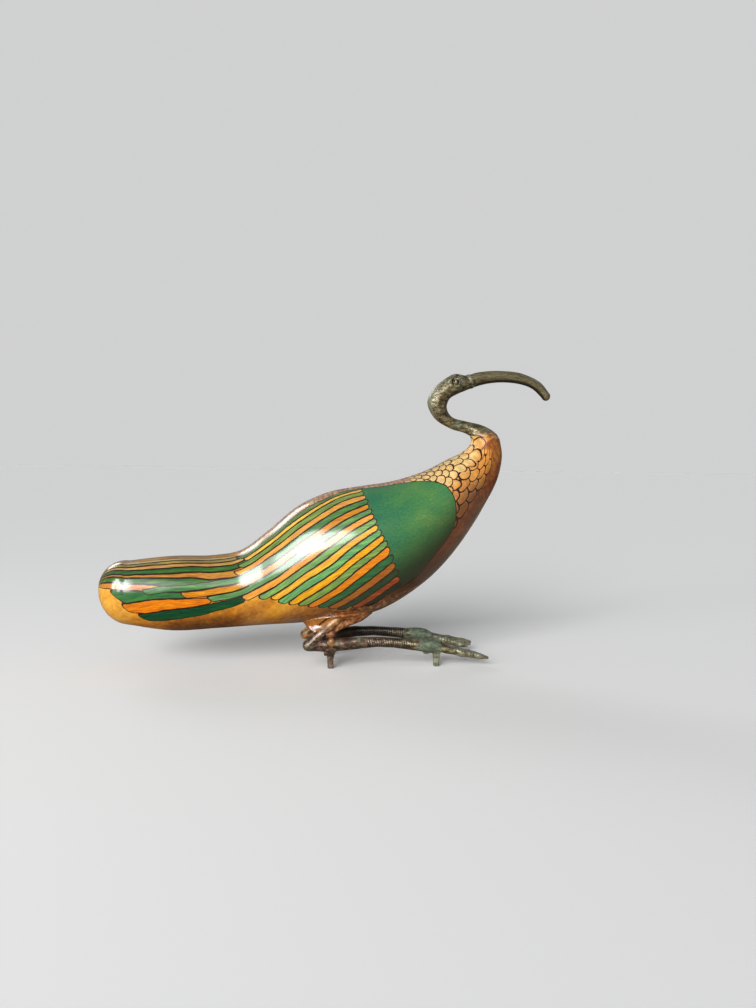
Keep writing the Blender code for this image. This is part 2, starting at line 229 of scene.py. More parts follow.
def spaced_sections(sections, step):
    """Sections about every step along the line through their middles, and how far along each is."""
    table = np.array(sections, float)
    middles = (table[:, 0:2] + table[:, 2:4]) / 2
    reach = np.concatenate([[0], np.cumsum(np.linalg.norm(np.diff(middles, axis=0), axis=1))])
    at = np.linspace(0, reach[-1], max(3, round(reach[-1] / step) + 1))
    return through(reach, table, at), at


def rounded_end(section, along, reach, count):
    """Sections after this one that shrink like an ellipse: the middle moves reach times the sine
    of an angle from 0 to almost 90 degrees, and the size is its cosine."""
    angle = math.pi / 2 * np.arange(1, count + 1)[:, None] / (count + 0.35)
    rows = np.repeat(np.array(section, float)[None], count, axis=0)
    middle = (rows[:, 0:2] + rows[:, 2:4]) / 2 + np.array(along) * reach * np.sin(angle)
    half = (rows[:, 0:2] - rows[:, 2:4]) / 2 * np.cos(angle)
    rows[:, 0:2], rows[:, 2:4] = middle + half, middle - half
    rows[:, 4:5] *= np.cos(angle)
    return rows, reach * np.sin(angle[:, 0])


def section_rings(sections, columns):
    """Ring of points round each section (x1, z1, x2, z2, half width, squareness, middle y): a
    superellipse, whose cosine and sine are raised to 2 over the squareness."""
    x1, z1, x2, z2, half_width, power, middle_y = (part[:, None] for part in np.asarray(sections).T)
    angle = np.arange(columns) * math.tau / columns
    up = np.sign(np.cos(angle)) * np.abs(np.cos(angle)) ** (2 / power)
    out = np.sign(np.sin(angle)) * np.abs(np.sin(angle)) ** (2 / power)
    return np.stack([(x1 + x2) / 2 + (x1 - x2) / 2 * up, middle_y + half_width * out,
                     (z1 + z2) / 2 + (z1 - z2) / 2 * up], axis=-1)


def facing_out(points, quads, fans=()):
    """Faces as lists, turned round if the volume that the quads enclose comes out negative."""
    corners = points[quads]
    halves = np.cross(corners[:, 2] - corners[:, 0], corners[:, 3] - corners[:, 1])
    volume = np.einsum("ij,ij->", corners.mean(axis=1) - points.mean(axis=0), halves)
    turn = -1 if volume < 0 else 1
    return [faces[:, ::turn].tolist() for faces in (quads, *fans)]


def closed_skin(rings):
    """Points and faces of a skin over rings of points, with a fan to a pole at each end."""
    rows, columns = rings.shape[:2]
    points = np.vstack([rings.reshape(-1, 3), rings[0].mean(axis=0), rings[-1].mean(axis=0)])
    number = np.arange(rows * columns).reshape(rows, columns)
    after = np.roll(number, -1, axis=1)
    quads = np.stack([number[:-1], after[:-1], after[1:], number[1:]], axis=-1).reshape(-1, 4)
    first = np.stack([after[0], number[0], np.full(columns, rows * columns)], axis=-1)
    last = np.stack([number[-1], after[-1], np.full(columns, rows * columns + 1)], axis=-1)
    return points, facing_out(points, quads, (first, last))


def with_poles(values):
    """Values on a grid of rings as one list, with the mean of the first and last ring added."""
    values = np.asarray(values, float)
    flat = values.reshape(-1, values.shape[-1])
    return np.vstack([flat, values[0].mean(axis=0), values[-1].mean(axis=0)])


def joined(name, skins, unit):
    """Object whose mesh holds several skins, their points multiplied by a unit."""
    starts = np.cumsum([0] + [len(points) for points, _ in skins])
    faces = []
    for (_, face_lists), start in zip(skins, starts):
        for some_faces in face_lists:
            faces += (np.array(some_faces) + start).tolist()
    mesh = bpy.data.meshes.new(name)
    mesh.from_pydata((np.vstack([points for points, _ in skins]) * unit).tolist(), [], faces)
    piece = bpy.data.objects.new(name, mesh)
    bpy.context.scene.collection.objects.link(piece)
    return piece


def add_piece(name, skins, marks, material, node):
    """A visible piece from several closed skins, with its named marks stored at the points."""
    piece = joined(name, skins, MM)
    for label, values in marks.items():
        layer = piece.data.attributes.new(label, "FLOAT_VECTOR", "POINT")
        layer.data.foreach_set("vector", np.vstack(values).astype(np.float32).ravel())
    piece.data.shade_smooth()
    piece.data.materials.append(material)
    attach(piece, "root")
    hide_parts(node)


def bump(values, middle, width):
    """Bell curve that is 1 at the middle and falls off over the width."""
    return np.exp(-((values - middle) / width) ** 2)


def slope(values, start, width):
    """0 up to the start and 1 from a width past it; where the width is negative it falls."""
    return np.clip((values - start) / width, 0, 1)


def outwards(rings):
    """Directions from the middle of each ring to its points, of length 1."""
    away = rings - rings.mean(axis=1, keepdims=True)
    return away / np.maximum(np.linalg.norm(away, axis=2, keepdims=True), 1e-6)


def waves(points, length, seed):
    """Smooth unevenness from 0 to 1: the mean of six sine waves of about this length, each in a
    direction of its own."""
    draw = np.random.default_rng(seed)
    turns = draw.normal(size=(6, 3))
    turns *= math.tau / length / np.linalg.norm(turns, axis=1)[:, None]
    turns *= draw.uniform(0.6, 1.5, (6, 1))
    return 0.5 + 0.5 * np.sin(points @ turns.T + draw.uniform(0, math.tau, 6)).mean(axis=-1)


def pressed_in(rings, depth, length, seed):
    """Rings whose points are drawn towards the middle of their ring by up to depth."""
    inward = rings.mean(axis=1, keepdims=True) - rings
    far = np.linalg.norm(inward, axis=-1, keepdims=True)
    amount = depth * waves(rings.reshape(-1, 3), length, seed).reshape(far.shape)
    return rings + inward / np.maximum(far, 1e-6) * np.minimum(amount, far * 0.5)


def body_sections():
    rows = [(TAIL_X + back_x * BODY_LENGTH, BELLY_UP + back_z * BODY_HEIGHT,
             TAIL_X + belly_x * BODY_LENGTH, BELLY_UP + belly_z * BODY_HEIGHT,
             width * BODY_WIDTH / 2, power, 0)
            for back_x, back_z, belly_x, belly_z, width, power in BODY_SECTIONS]
    sections, run = spaced_sections(rows, BODY_STEP)
    tail_length = BODY_SECTIONS[0][0] * BODY_LENGTH
    tail, tail_run = rounded_end(sections[0], (-1, TAIL_TILT), tail_length - TAIL_FLAT, TAIL_ROWS)
    run = np.concatenate([-tail_run[::-1], run]) + tail_length
    return np.vstack([tail[::-1], sections]), run


body_rows, body_run = body_sections()
body_rings = section_rings(body_rows, BODY_COLUMNS)
steps = np.linalg.norm(np.diff(body_rings, axis=1, append=body_rings[:, :1]), axis=2)
one_way = np.pad(np.cumsum(steps, axis=1)[:, :-1], ((0, 0), (1, 0)))
whole_way = steps.sum(axis=1, keepdims=True)
body_down = np.minimum(one_way, whole_way - one_way)    # from the ridge, down either side
body_run = np.repeat(body_run[:, None], BODY_COLUMNS, axis=1)


# The painting: folded wing feathers as long stripes in orange, yellow and greens, tail feathers
# below them, a green shoulder patch, and scales with dark edges: small ones on the back, larger
# ones on top of the neck and a fan of long ones on its side. It is drawn in two lengths on the
# skin: run, from the tail end, and down, from the ridge.

# Feathers of the wing, numbered from 0 at the ridge. Each row is one place along the body, and
# says how far down the upper edge of feathers 0, 1, 2, 4, 7, 10, 13, 16 and 19 lies
WING_EDGES = (0, 1, 2, 4, 7, 10, 13, 16, 19)
WING_LINES = (
    (40, 9, 15, 20, 39.5, 56.5, 75, 95, 115, 135),
    (70, 11, 17, 22, 39.8, 57.5, 75, 95, 115, 135),
    (100, 14, 20, 24.5, 37.2, 55.5, 74, 94, 114, 134),
    (125, 16.5, 22.5, 27.2, 37.8, 55.2, 74, 94, 114, 134),
    (150, 17.5, 24, 29, 40.3, 59.5, 79.3, 101, 121, 141),
    (175, 18.5, 26, 30.5, 43, 62.3, 82, 103.7, 124.3, 145),
    (200, 17.5, 23, 27.3, 39.8, 59, 79.5, 100.3, 121.5, 142),
    (225, 12, 16.5, 21, 33.8, 51.3, 69, 88.5, 112, 133),
    (250, 7, 12, 17, 28.5, 43, 58.5, 75, 97.5, 118),
)
# Each feather's rear tip and front end along the run, and its paint
WING_FEATHERS = (
    (118, 238, (0.085, 0.150, 0.048)),
    (124.5, 237, (0.75, 0.40, 0.055)),
    (119.5, 237.5, (0.14, 0.23, 0.055)),
    (116, 238, (0.68, 0.285, 0.050)),
    (41, 239, (0.052, 0.166, 0.047)),
    (72, 238.5, (0.57, 0.195, 0.009)),
    (93.5, 240, (0.09, 0.23, 0.085)),
    (121.5, 240.5, (0.78, 0.30, 0.045)),
    (136, 242, (0.15, 0.32, 0.10)),
    (146, 242, (0.80, 0.39, 0.032)),
    (152, 244, (0.11, 0.335, 0.12)),
    (160.5, 245.5, (0.84, 0.36, 0.006)),
    (168.5, 247.5, (0.15, 0.28, 0.065)),
    (176, 248.5, (0.75, 0.205, 0.003)),
    (184.5, 250.5, (0.016, 0.108, 0.036)),
    (192.5, 251, (0.38, 0.105, 0.009)),
    (199.5, 253, (0.012, 0.045, 0.018)),
    (211.5, 253.5, (0.29, 0.053, 0.006)),
    (222, 255, (0.008, 0.014, 0.004)),
)

# Feathers of the tail, drawn in the same way; down is scaled to the tail's widest girth near its
# rounded end, so that the bands run together there
TAIL_EDGES = (0, 1, 2, 3, 4, 5, 6, 7, 8, 9, 10)
TAIL_LINES = (
    (0, 6, 11, 16, 19, 23.5, 26, 31, 37.5, 48, 55, 62),
    (30, 8, 13, 17, 20.8, 25.3, 28.3, 33.3, 39, 48.7, 58, 66),
    (45, 9, 14, 17.8, 22.7, 27.7, 31.3, 36.5, 42, 49.5, 60.7, 69.5),
    (60, 9.5, 14.3, 19.2, 24, 29.3, 33.3, 41, 45, 50.5, 60.7, 70.3),
    (80, 9, 14, 18.3, 22.8, 29, 34.3, 42, 46, 51, 58.8, 67.7),
    (100, 10, 15, 19.7, 24.5, 30, 36.5, 42.5, 46.5, 51, 55.8, 63.5),
    (125, 11, 15, 20.3, 25, 30.5, 37.5, 43, 47, 51, 54.5, 61),
)
TAIL_FEATHERS = (
    (0, 130, (0.42, 0.29, 0.135)),
    (0, 130, (0.235, 0.19, 0.065)),
    (0, 130, (0.47, 0.23, 0.075)),
    (0, 130, (0.028, 0.104, 0.027)),
    (0, 130, (0.44, 0.175, 0.031)),
    (0, 130, (0.035, 0.115, 0.022)),
    (0, 130, (0.54, 0.19, 0.030)),
    (16, 80, (0.022, 0.127, 0.033)),
    (25, 96, (0.66, 0.165, 0.003)),
    (38, 124, (0.003, 0.052, 0.020)),
)
TAIL_GIRTH = 88              # half the tail's girth where it is widest
TAIL_ROUNDING = 30           # run up to which the end is rounded

# The shoulder patch round a middle at this run and down: its reach at angles from straight up,
# through the front, to straight down
PATCH_MIDDLE = (262, 64)
PATCH_REACH = ((-180, 30), (-100, 51), (-90, 50), (-69, 49.4), (-56, 50.5), (-43, 52.5),
               (-30, 55.6), (-15, 56), (-4, 54), (7, 51.4), (16, 48), (28, 43), (45, 39.7),
               (64, 41), (80, 46.7), (90, 50.5), (100, 55), (180, 30))
# Behind the middle it is a band under the wing: upper edge at two places along the run, lower edge
# under the middle and how much it falls for each millimetre back, and how far back it goes
PATCH_TOP = ((232, 13), (262, 14))
PATCH_BOTTOM, PATCH_FALL = 115, 0.4
PATCH_BACK = 40
OUTSIDE = -9                 # a distance or a number that lies outside every painted form

# Scales on the back and the top of the neck: how many rows are painted up to each place along the
# run, and how wide the scales are there
SCALE_ROWS = ((0, -20), (120, 0), (275, 34), (296, 38), (324, 42), (350, 44), (382, 46),
              (420, 48))
SCALE_WIDTHS = ((0, 5.4), (270, 5.6), (298, 9.6), (330, 10), (350, 11), (395, 13))
SCALE_LEAN, SCALE_UPRIGHT = 0.010, 28       # the rows bend to the rear below this down
# How far down the side they reach, along the run
SCALE_LIMITS = ((118, -2), (132, 17.5), (262, 18), (285, 80), (400, 80))
# The longer scales on the side of the neck spread like a fan round this run and down: their rows
# are counted by the angle, and their columns by the distance
FAN_MIDDLE = (400, 10)
FAN_ROWS = ((0, -1.6), (10, 0.37), (17, 1.37), (23, 2.37), (28, 3.37), (32.4, 4.37), (36.5, 5.37),
            (90, 18))
FAN_LENGTH = 17              # length of a scale, along the distance
FAN_RANGE = (26.0, 112.0)    # distances between which it is painted
EDGE_STEP = 6                # past the drawn edges, the feather number rises by 1 over this


def feather_marks(run, down, lines, edges):
    """Feather number, run, and the feathers' width at each point. Down the side the number rises
    in straight steps from one drawn edge to the next; the edges are smooth curves along the run."""
    lines = np.array(lines)
    drawn = through(lines[:, 0], lines[:, 1:], run[:, 0])[:, None, :]
    share = np.clip((down[..., None] - drawn[..., :-1]) / np.diff(drawn, axis=-1), 0, 1)
    number = edges[0] + (share * np.diff(edges)).sum(axis=-1)
    above = np.minimum(down - drawn[..., 0], 0) / EDGE_STEP
    below = np.maximum(down - drawn[..., -1], 0) / EDGE_STEP
    number = number + above + below
    spacing = np.diff(drawn, axis=-1) / np.diff(edges)
    place = np.clip(np.searchsorted(edges, number.ravel(), side="right") - 1, 0, len(edges) - 2)
    width = np.take_along_axis(np.broadcast_to(spacing, (*number.shape, len(edges) - 1)),
                               place.reshape(*number.shape, 1), axis=-1)[..., 0]
    return np.stack([number, run, width], axis=-1)


def patch_marks(run, down):
    """Millimetres inside the edge of the shoulder patch, run and down."""
    ahead, below = run - PATCH_MIDDLE[0], down - PATCH_MIDDLE[1]
    distance = np.hypot(ahead, below)
    reach = np.interp(np.degrees(np.arctan2(below, ahead)), *np.array(PATCH_REACH).T)
    top = np.interp(run, *np.array(PATCH_TOP).T)
    bottom = PATCH_BOTTOM - PATCH_FALL * ahead
    band = np.minimum(down - top, bottom - down)
    behind = np.minimum(np.maximum(reach - distance, 4), band)
    inside = np.where(ahead < 0, behind, reach - distance)
    return np.stack([np.where(ahead < -PATCH_BACK, OUTSIDE, inside), run, down], axis=-1)


def scale_marks(run, down):
    """Row and column number of the painted scales, and millimetres inside the edge of the zone."""
    lean = SCALE_LEAN * np.maximum(down - SCALE_UPRIGHT, 0)**2
    row = np.interp(run + lean, *np.array(SCALE_ROWS).T)
    column = down / np.interp(run, *np.array(SCALE_WIDTHS).T)
    return np.stack([row, column, np.interp(run, *np.array(SCALE_LIMITS).T) - down], axis=-1)


def fan_marks(run, down):
    """Row and column number of the long scales on the side of the neck, and their distance from
    the middle of the fan."""
    back, below = FAN_MIDDLE[0] - run, down - FAN_MIDDLE[1]
    row = np.interp(np.degrees(np.arctan2(below, back)), *np.array(FAN_ROWS).T)
    distance = np.hypot(back, below)
    return np.stack([row, distance / FAN_LENGTH, distance], axis=-1)


girth = body_down.max(axis=1, keepdims=True)
tail_down = body_down / np.where(body_run < TAIL_ROUNDING, np.minimum(girth / TAIL_GIRTH, 1), 1)
body_marks = {
    "wing": feather_marks(body_run, body_down, WING_LINES, WING_EDGES),
    "tail": feather_marks(body_run, tail_down, TAIL_LINES, TAIL_EDGES),
    "patch": patch_marks(body_run, body_down),
    "scales": scale_marks(body_run, body_down),
    "fan": fan_marks(body_run, body_down),
}
body_marks = {name: [with_poles(marks)] for name, marks in body_marks.items()}


class Field:
    """A number that the shader works out at each point. Sums with it add Math nodes."""

    def __init__(self, tree, socket):
        self.tree = tree
        self.socket = socket

    def math(self, operation, *others):
        node = self.tree.nodes.new("ShaderNodeMath")
        node.operation = operation
        plug_all(self.tree, node, (self, *others))
        return Field(self.tree, node.outputs[0])

    __add__ = partialmethod(math, "ADD")
    __sub__ = partialmethod(math, "SUBTRACT")
    __rsub__ = partialmethod(math, "MULTIPLY_ADD", -1.0)
    __mul__ = partialmethod(math, "MULTIPLY")
    __truediv__ = partialmethod(math, "DIVIDE")
    power = partialmethod(math, "POWER")
    root = partialmethod(math, "SQRT")
    size = partialmethod(math, "ABSOLUTE")
    floor = partialmethod(math, "FLOOR")
    lesser = partialmethod(math, "MINIMUM")
    greater = partialmethod(math, "MAXIMUM")
    over = partialmethod(math, "GREATER_THAN")

    def step(self, start, end, low=0.0, high=1.0):
        """Smooth step from low at start to high at end."""
        node = self.tree.nodes.new("ShaderNodeMapRange")
        node.interpolation_type = "SMOOTHSTEP"
        plug_all(self.tree, node, (self, start, end, low, high))
        return Field(self.tree, node.outputs[0])


def plug(tree, entry, value):
    """Link a socket or a Field to an input, or set the input to a plain number or colour."""
    if isinstance(value, Field):
        value = value.socket
    if isinstance(value, bpy.types.NodeSocket):
        tree.links.new(value, entry)
    elif isinstance(value, tuple) and len(value) == 3 and entry.type == "RGBA":
        entry.default_value = (*value, 1)
    else:
        entry.default_value = value


def plug_all(tree, node, values):
    """Values into a node's first inputs."""
    for entry, value in zip(node.inputs, values):
        plug(tree, entry, value)


def parts(tree, vector_socket):
    node = tree.nodes.new("ShaderNodeSeparateXYZ")
    plug(tree, node.inputs[0], vector_socket)
    return [Field(tree, socket) for socket in node.outputs]


def vector(tree, x, y, z=0.0):
    node = tree.nodes.new("ShaderNodeCombineXYZ")
    plug_all(tree, node, (x, y, z))
    return node.outputs[0]


def stored(tree, name):
    """A mark that is stored at the mesh's points, as a vector."""
    node = tree.nodes.new("ShaderNodeAttribute")
    node.attribute_name = name
    return node.outputs["Vector"]


def mark(tree, name):
    """The three numbers of a mark."""
    return parts(tree, stored(tree, name))


def object_place(tree):
    """The point's place in metres."""
    return tree.nodes.new("ShaderNodeTexCoord").outputs["Object"]


def noise(tree, place, scale=1.0, detail=2.0, roughness=0.5):
    """Soft noise from 0 to 1 at a place, which is a vector or two or three numbers."""
    node = tree.nodes.new("ShaderNodeTexNoise")
    plug(tree, node.inputs["Vector"], vector(tree, *place) if isinstance(place, tuple) else place)
    plug(tree, node.inputs["Scale"], scale)
    plug(tree, node.inputs["Detail"], detail)
    plug(tree, node.inputs["Roughness"], roughness)
    return Field(tree, node.outputs[0])


def blend(tree, amount, first, second, kind="MIX"):
    """Second colour over the first by an amount."""
    node = tree.nodes.new("ShaderNodeMix")
    node.data_type = "RGBA"
    node.blend_type = kind
    for place, value in zip((0, 6, 7), (amount, first, second)):
        plug(tree, node.inputs[place], value)
    return node.outputs[2]


def pick(tree, choice, first, second):
    """First number where the choice is 0, second where it is 1."""
    node = tree.nodes.new("ShaderNodeMix")
    for place, value in zip((0, 2, 3), (choice, first, second)):
        plug(tree, node.inputs[place], value)
    return Field(tree, node.outputs[0])


def shaded(tree, colour, shade):
    """Colour multiplied by a number."""
    return blend(tree, 1.0, colour, vector(tree, shade, shade, shade), "MULTIPLY")


def ramp(tree, amount, stops, kind="LINEAR"):
    """Colour ramp through (place, colour) stops."""
    node = tree.nodes.new("ShaderNodeValToRGB")
    node.color_ramp.interpolation = kind
    plug(tree, node.inputs[0], amount)
    band = node.color_ramp.elements
    while len(band) > 1:
        band.remove(band[-1])
    band[0].position = stops[0][0]
    band[0].color = (*stops[0][1], 1)
    for place, colour in stops[1:]:
        band.new(place).color = (*colour, 1)
    return node.outputs[0]


def group(name, inputs, outputs):
    """Empty shader group, its inputs as Fields, and the node that takes its results."""
    tree = bpy.data.node_groups.new(name, "ShaderNodeTree")
    for way, sockets in (("INPUT", inputs), ("OUTPUT", outputs)):
        for label, kind in sockets.items():
            tree.interface.new_socket(name=label, in_out=way, socket_type=kind)
    way_in = tree.nodes.new("NodeGroupInput")
    way_out = tree.nodes.new("NodeGroupOutput")
    return tree, [Field(tree, socket) for socket in way_in.outputs if socket.name], way_out


def use_group(tree, name, values):
    """The results of a group, as Fields."""
    node = tree.nodes.new("ShaderNodeGroup")
    node.node_tree = bpy.data.node_groups[name]
    plug_all(tree, node, values)
    return [Field(tree, socket) for socket in node.outputs]


NUMBER, COLOUR, VECTOR = "NodeSocketFloat", "NodeSocketColor", "NodeSocketVector"
INK = (0.022, 0.009, 0.004)
RUN_END = 400                # feather ends are looked up as shares of this run


def make_brushwork():
    """Paint with streaks along the stroke, darker and lighter by turns, and tinted in broad
    patches. Both are noise that is long along the stroke and narrow across it."""
    tree, (paint, tint, along, across), out = group(
        "brushwork", {"Paint": COLOUR, "Tint": COLOUR, "Along": NUMBER, "Across": NUMBER},
        {"Color": COLOUR})
    fine = noise(tree, (along * 0.09, across * 1.5), 1.0, 4.0, 0.65)
    broad = noise(tree, (along * 0.035, across * 0.35, 3.0))
    colour = blend(tree, broad.step(0.44, 0.68) * 0.8, paint, tint)
    plug_all(tree, out, [shaded(tree, colour, fine.step(0.33, 0.67, 0.62, 1.32))])


def make_feathers(name, feathers):
    """Long feathers with round ends and a dark edge. The feather number's whole part looks up the
    ends and the paint; inside is the distance from the outline of a stadium: half the width, less
    the distance from the middle line, rounded off where the end is nearer than half the width."""
    tree, (marks, wobble), out = group(
        name, {"Marks": VECTOR, "Wobble": NUMBER},
        {"Color": COLOUR, "Cover": NUMBER, "Inside": NUMBER, "Number": NUMBER})
    number, run, width = parts(tree, marks)
    number = number + wobble
    whole = number.floor()
    count = len(feathers)
    look_up = (whole + 0.5) / count
    ends = [(place / count, (tip / RUN_END, front / RUN_END, 0))
            for place, (tip, front, _) in enumerate(feathers)]
    paints = [(place / count, colour) for place, (_, _, colour) in enumerate(feathers)]
    tip, front, _ = parts(tree, ramp(tree, look_up, ends, "CONSTANT"))
    half = width * 0.5
    across = (number - whole - 0.5) * width
    along = (run - tip * RUN_END - across).lesser(front * RUN_END - run)
    short = (half - along).greater(0.0)
    inside = half - (short * short + across * across).root()
    counted = number.over(0.0) * (float(count) - number).over(0.0)
    cover = inside.step(-0.35, -0.05) * counted
    plug_all(tree, out, (ramp(tree, look_up, paints, "CONSTANT"), cover, inside, whole))


def make_scales():
    """Overlapping scales in staggered rows. Each has straight sides and a round front end that
    lies over the row in front: its edge is where powers of along past 0.55 rows and of across
    add up to 1, and a point belongs to the hindmost scale that reaches it. Puts out a tone for
    each scale, and about how many millimetres the point lies inside the edge."""
    tree, (marks,), out = group(
        "painted_scales", {"Marks": VECTOR},
        {"Tone": NUMBER, "Inside": NUMBER, "Row": NUMBER, "Column": NUMBER})
    row, column, _ = parts(tree, marks)
    place = object_place(tree)
    row = row + (noise(tree, place, 75.0, 1.0) - 0.5) * 0.7
    column = column + (noise(tree, place, 90.0, 1.0) - 0.5) * 0.5
    best = None
    for rows_back in (0.0, 1.0):
        this_row = row.floor() - rows_back
        shifted = column + (this_row * 0.5 - (this_row * 0.5).floor())
        this_column = shifted.floor()
        draw = tree.nodes.new("ShaderNodeTexWhiteNoise")
        plug(tree, draw.inputs["Vector"], vector(tree, this_row * 7.3, this_column * 3.7))
        tone = Field(tree, draw.outputs["Value"])
        along = ((row - this_row - 0.55) / (tone * 0.2 + 0.72)).greater(0.0)
        across = (shifted - this_column - 0.5).size() / 0.56
        inside = (1.0 - (along.power(2.4) + across.power(2.2))) * 4.2
        found = (tone, inside, this_row, this_column)
        if best is None:
            best = found
        else:
            best = [pick(tree, inside.over(0.0), under, over) for under, over in zip(best, found)]
    plug_all(tree, out, best)


make_brushwork()
make_feathers("wing_feathers", WING_FEATHERS)
make_feathers("tail_feathers", TAIL_FEATHERS)
make_scales()


def material_tree(name):
    material = bpy.data.materials.new(name)
    material.use_nodes = True
    tree = material.node_tree
    return material, tree, tree.nodes["Principled BSDF"]


def add_relief(tree, shader, height, strength, distance):
    """Small relief from a height of 0 to 1 that stands for a distance."""
    relief = tree.nodes.new("ShaderNodeBump")
    relief.inputs["Strength"].default_value = strength
    relief.inputs["Distance"].default_value = distance * MM
    plug(tree, relief.inputs["Height"], height)
    plug(tree, shader.inputs["Normal"], relief.outputs[0])


# The paints, each as stops from its dark to its light tones
GOLD = ((0.24, (0.08, 0.024, 0.006)), (0.40, (0.24, 0.080, 0.011)), (0.54, (0.46, 0.17, 0.016)),
        (0.66, (0.68, 0.29, 0.026)), (0.80, (0.86, 0.45, 0.055)))
BREAST = ((0.20, (0.12, 0.030, 0.010)), (0.38, (0.25, 0.070, 0.022)), (0.52, (0.42, 0.16, 0.032)),
          (0.66, (0.70, 0.32, 0.07)))
LOBE = ((0.50, (0.10, 0.026, 0.009)), (0.66, (0.30, 0.10, 0.030)), (0.80, (0.58, 0.27, 0.11)))
UPPER_SCALES = ((0.0, (0.76, 0.46, 0.15)), (0.5, (0.80, 0.57, 0.23)), (1.0, (0.76, 0.43, 0.17)))
LOWER_SCALES = ((0.0, (0.60, 0.24, 0.05)), (1.0, (0.74, 0.34, 0.06)))
BACK_SCALES = ((0.0, (0.40, 0.20, 0.12)), (0.5, (0.66, 0.46, 0.24)), (1.0, (0.52, 0.20, 0.12)))
PATCH_GREENS = ((0.32, (0.018, 0.14, 0.065)), (0.46, (0.040, 0.18, 0.055)),
                (0.60, (0.068, 0.205, 0.052)), (0.76, (0.14, 0.26, 0.055)))
LAST_BACK_ROW = 34.5         # rows after it are on the neck


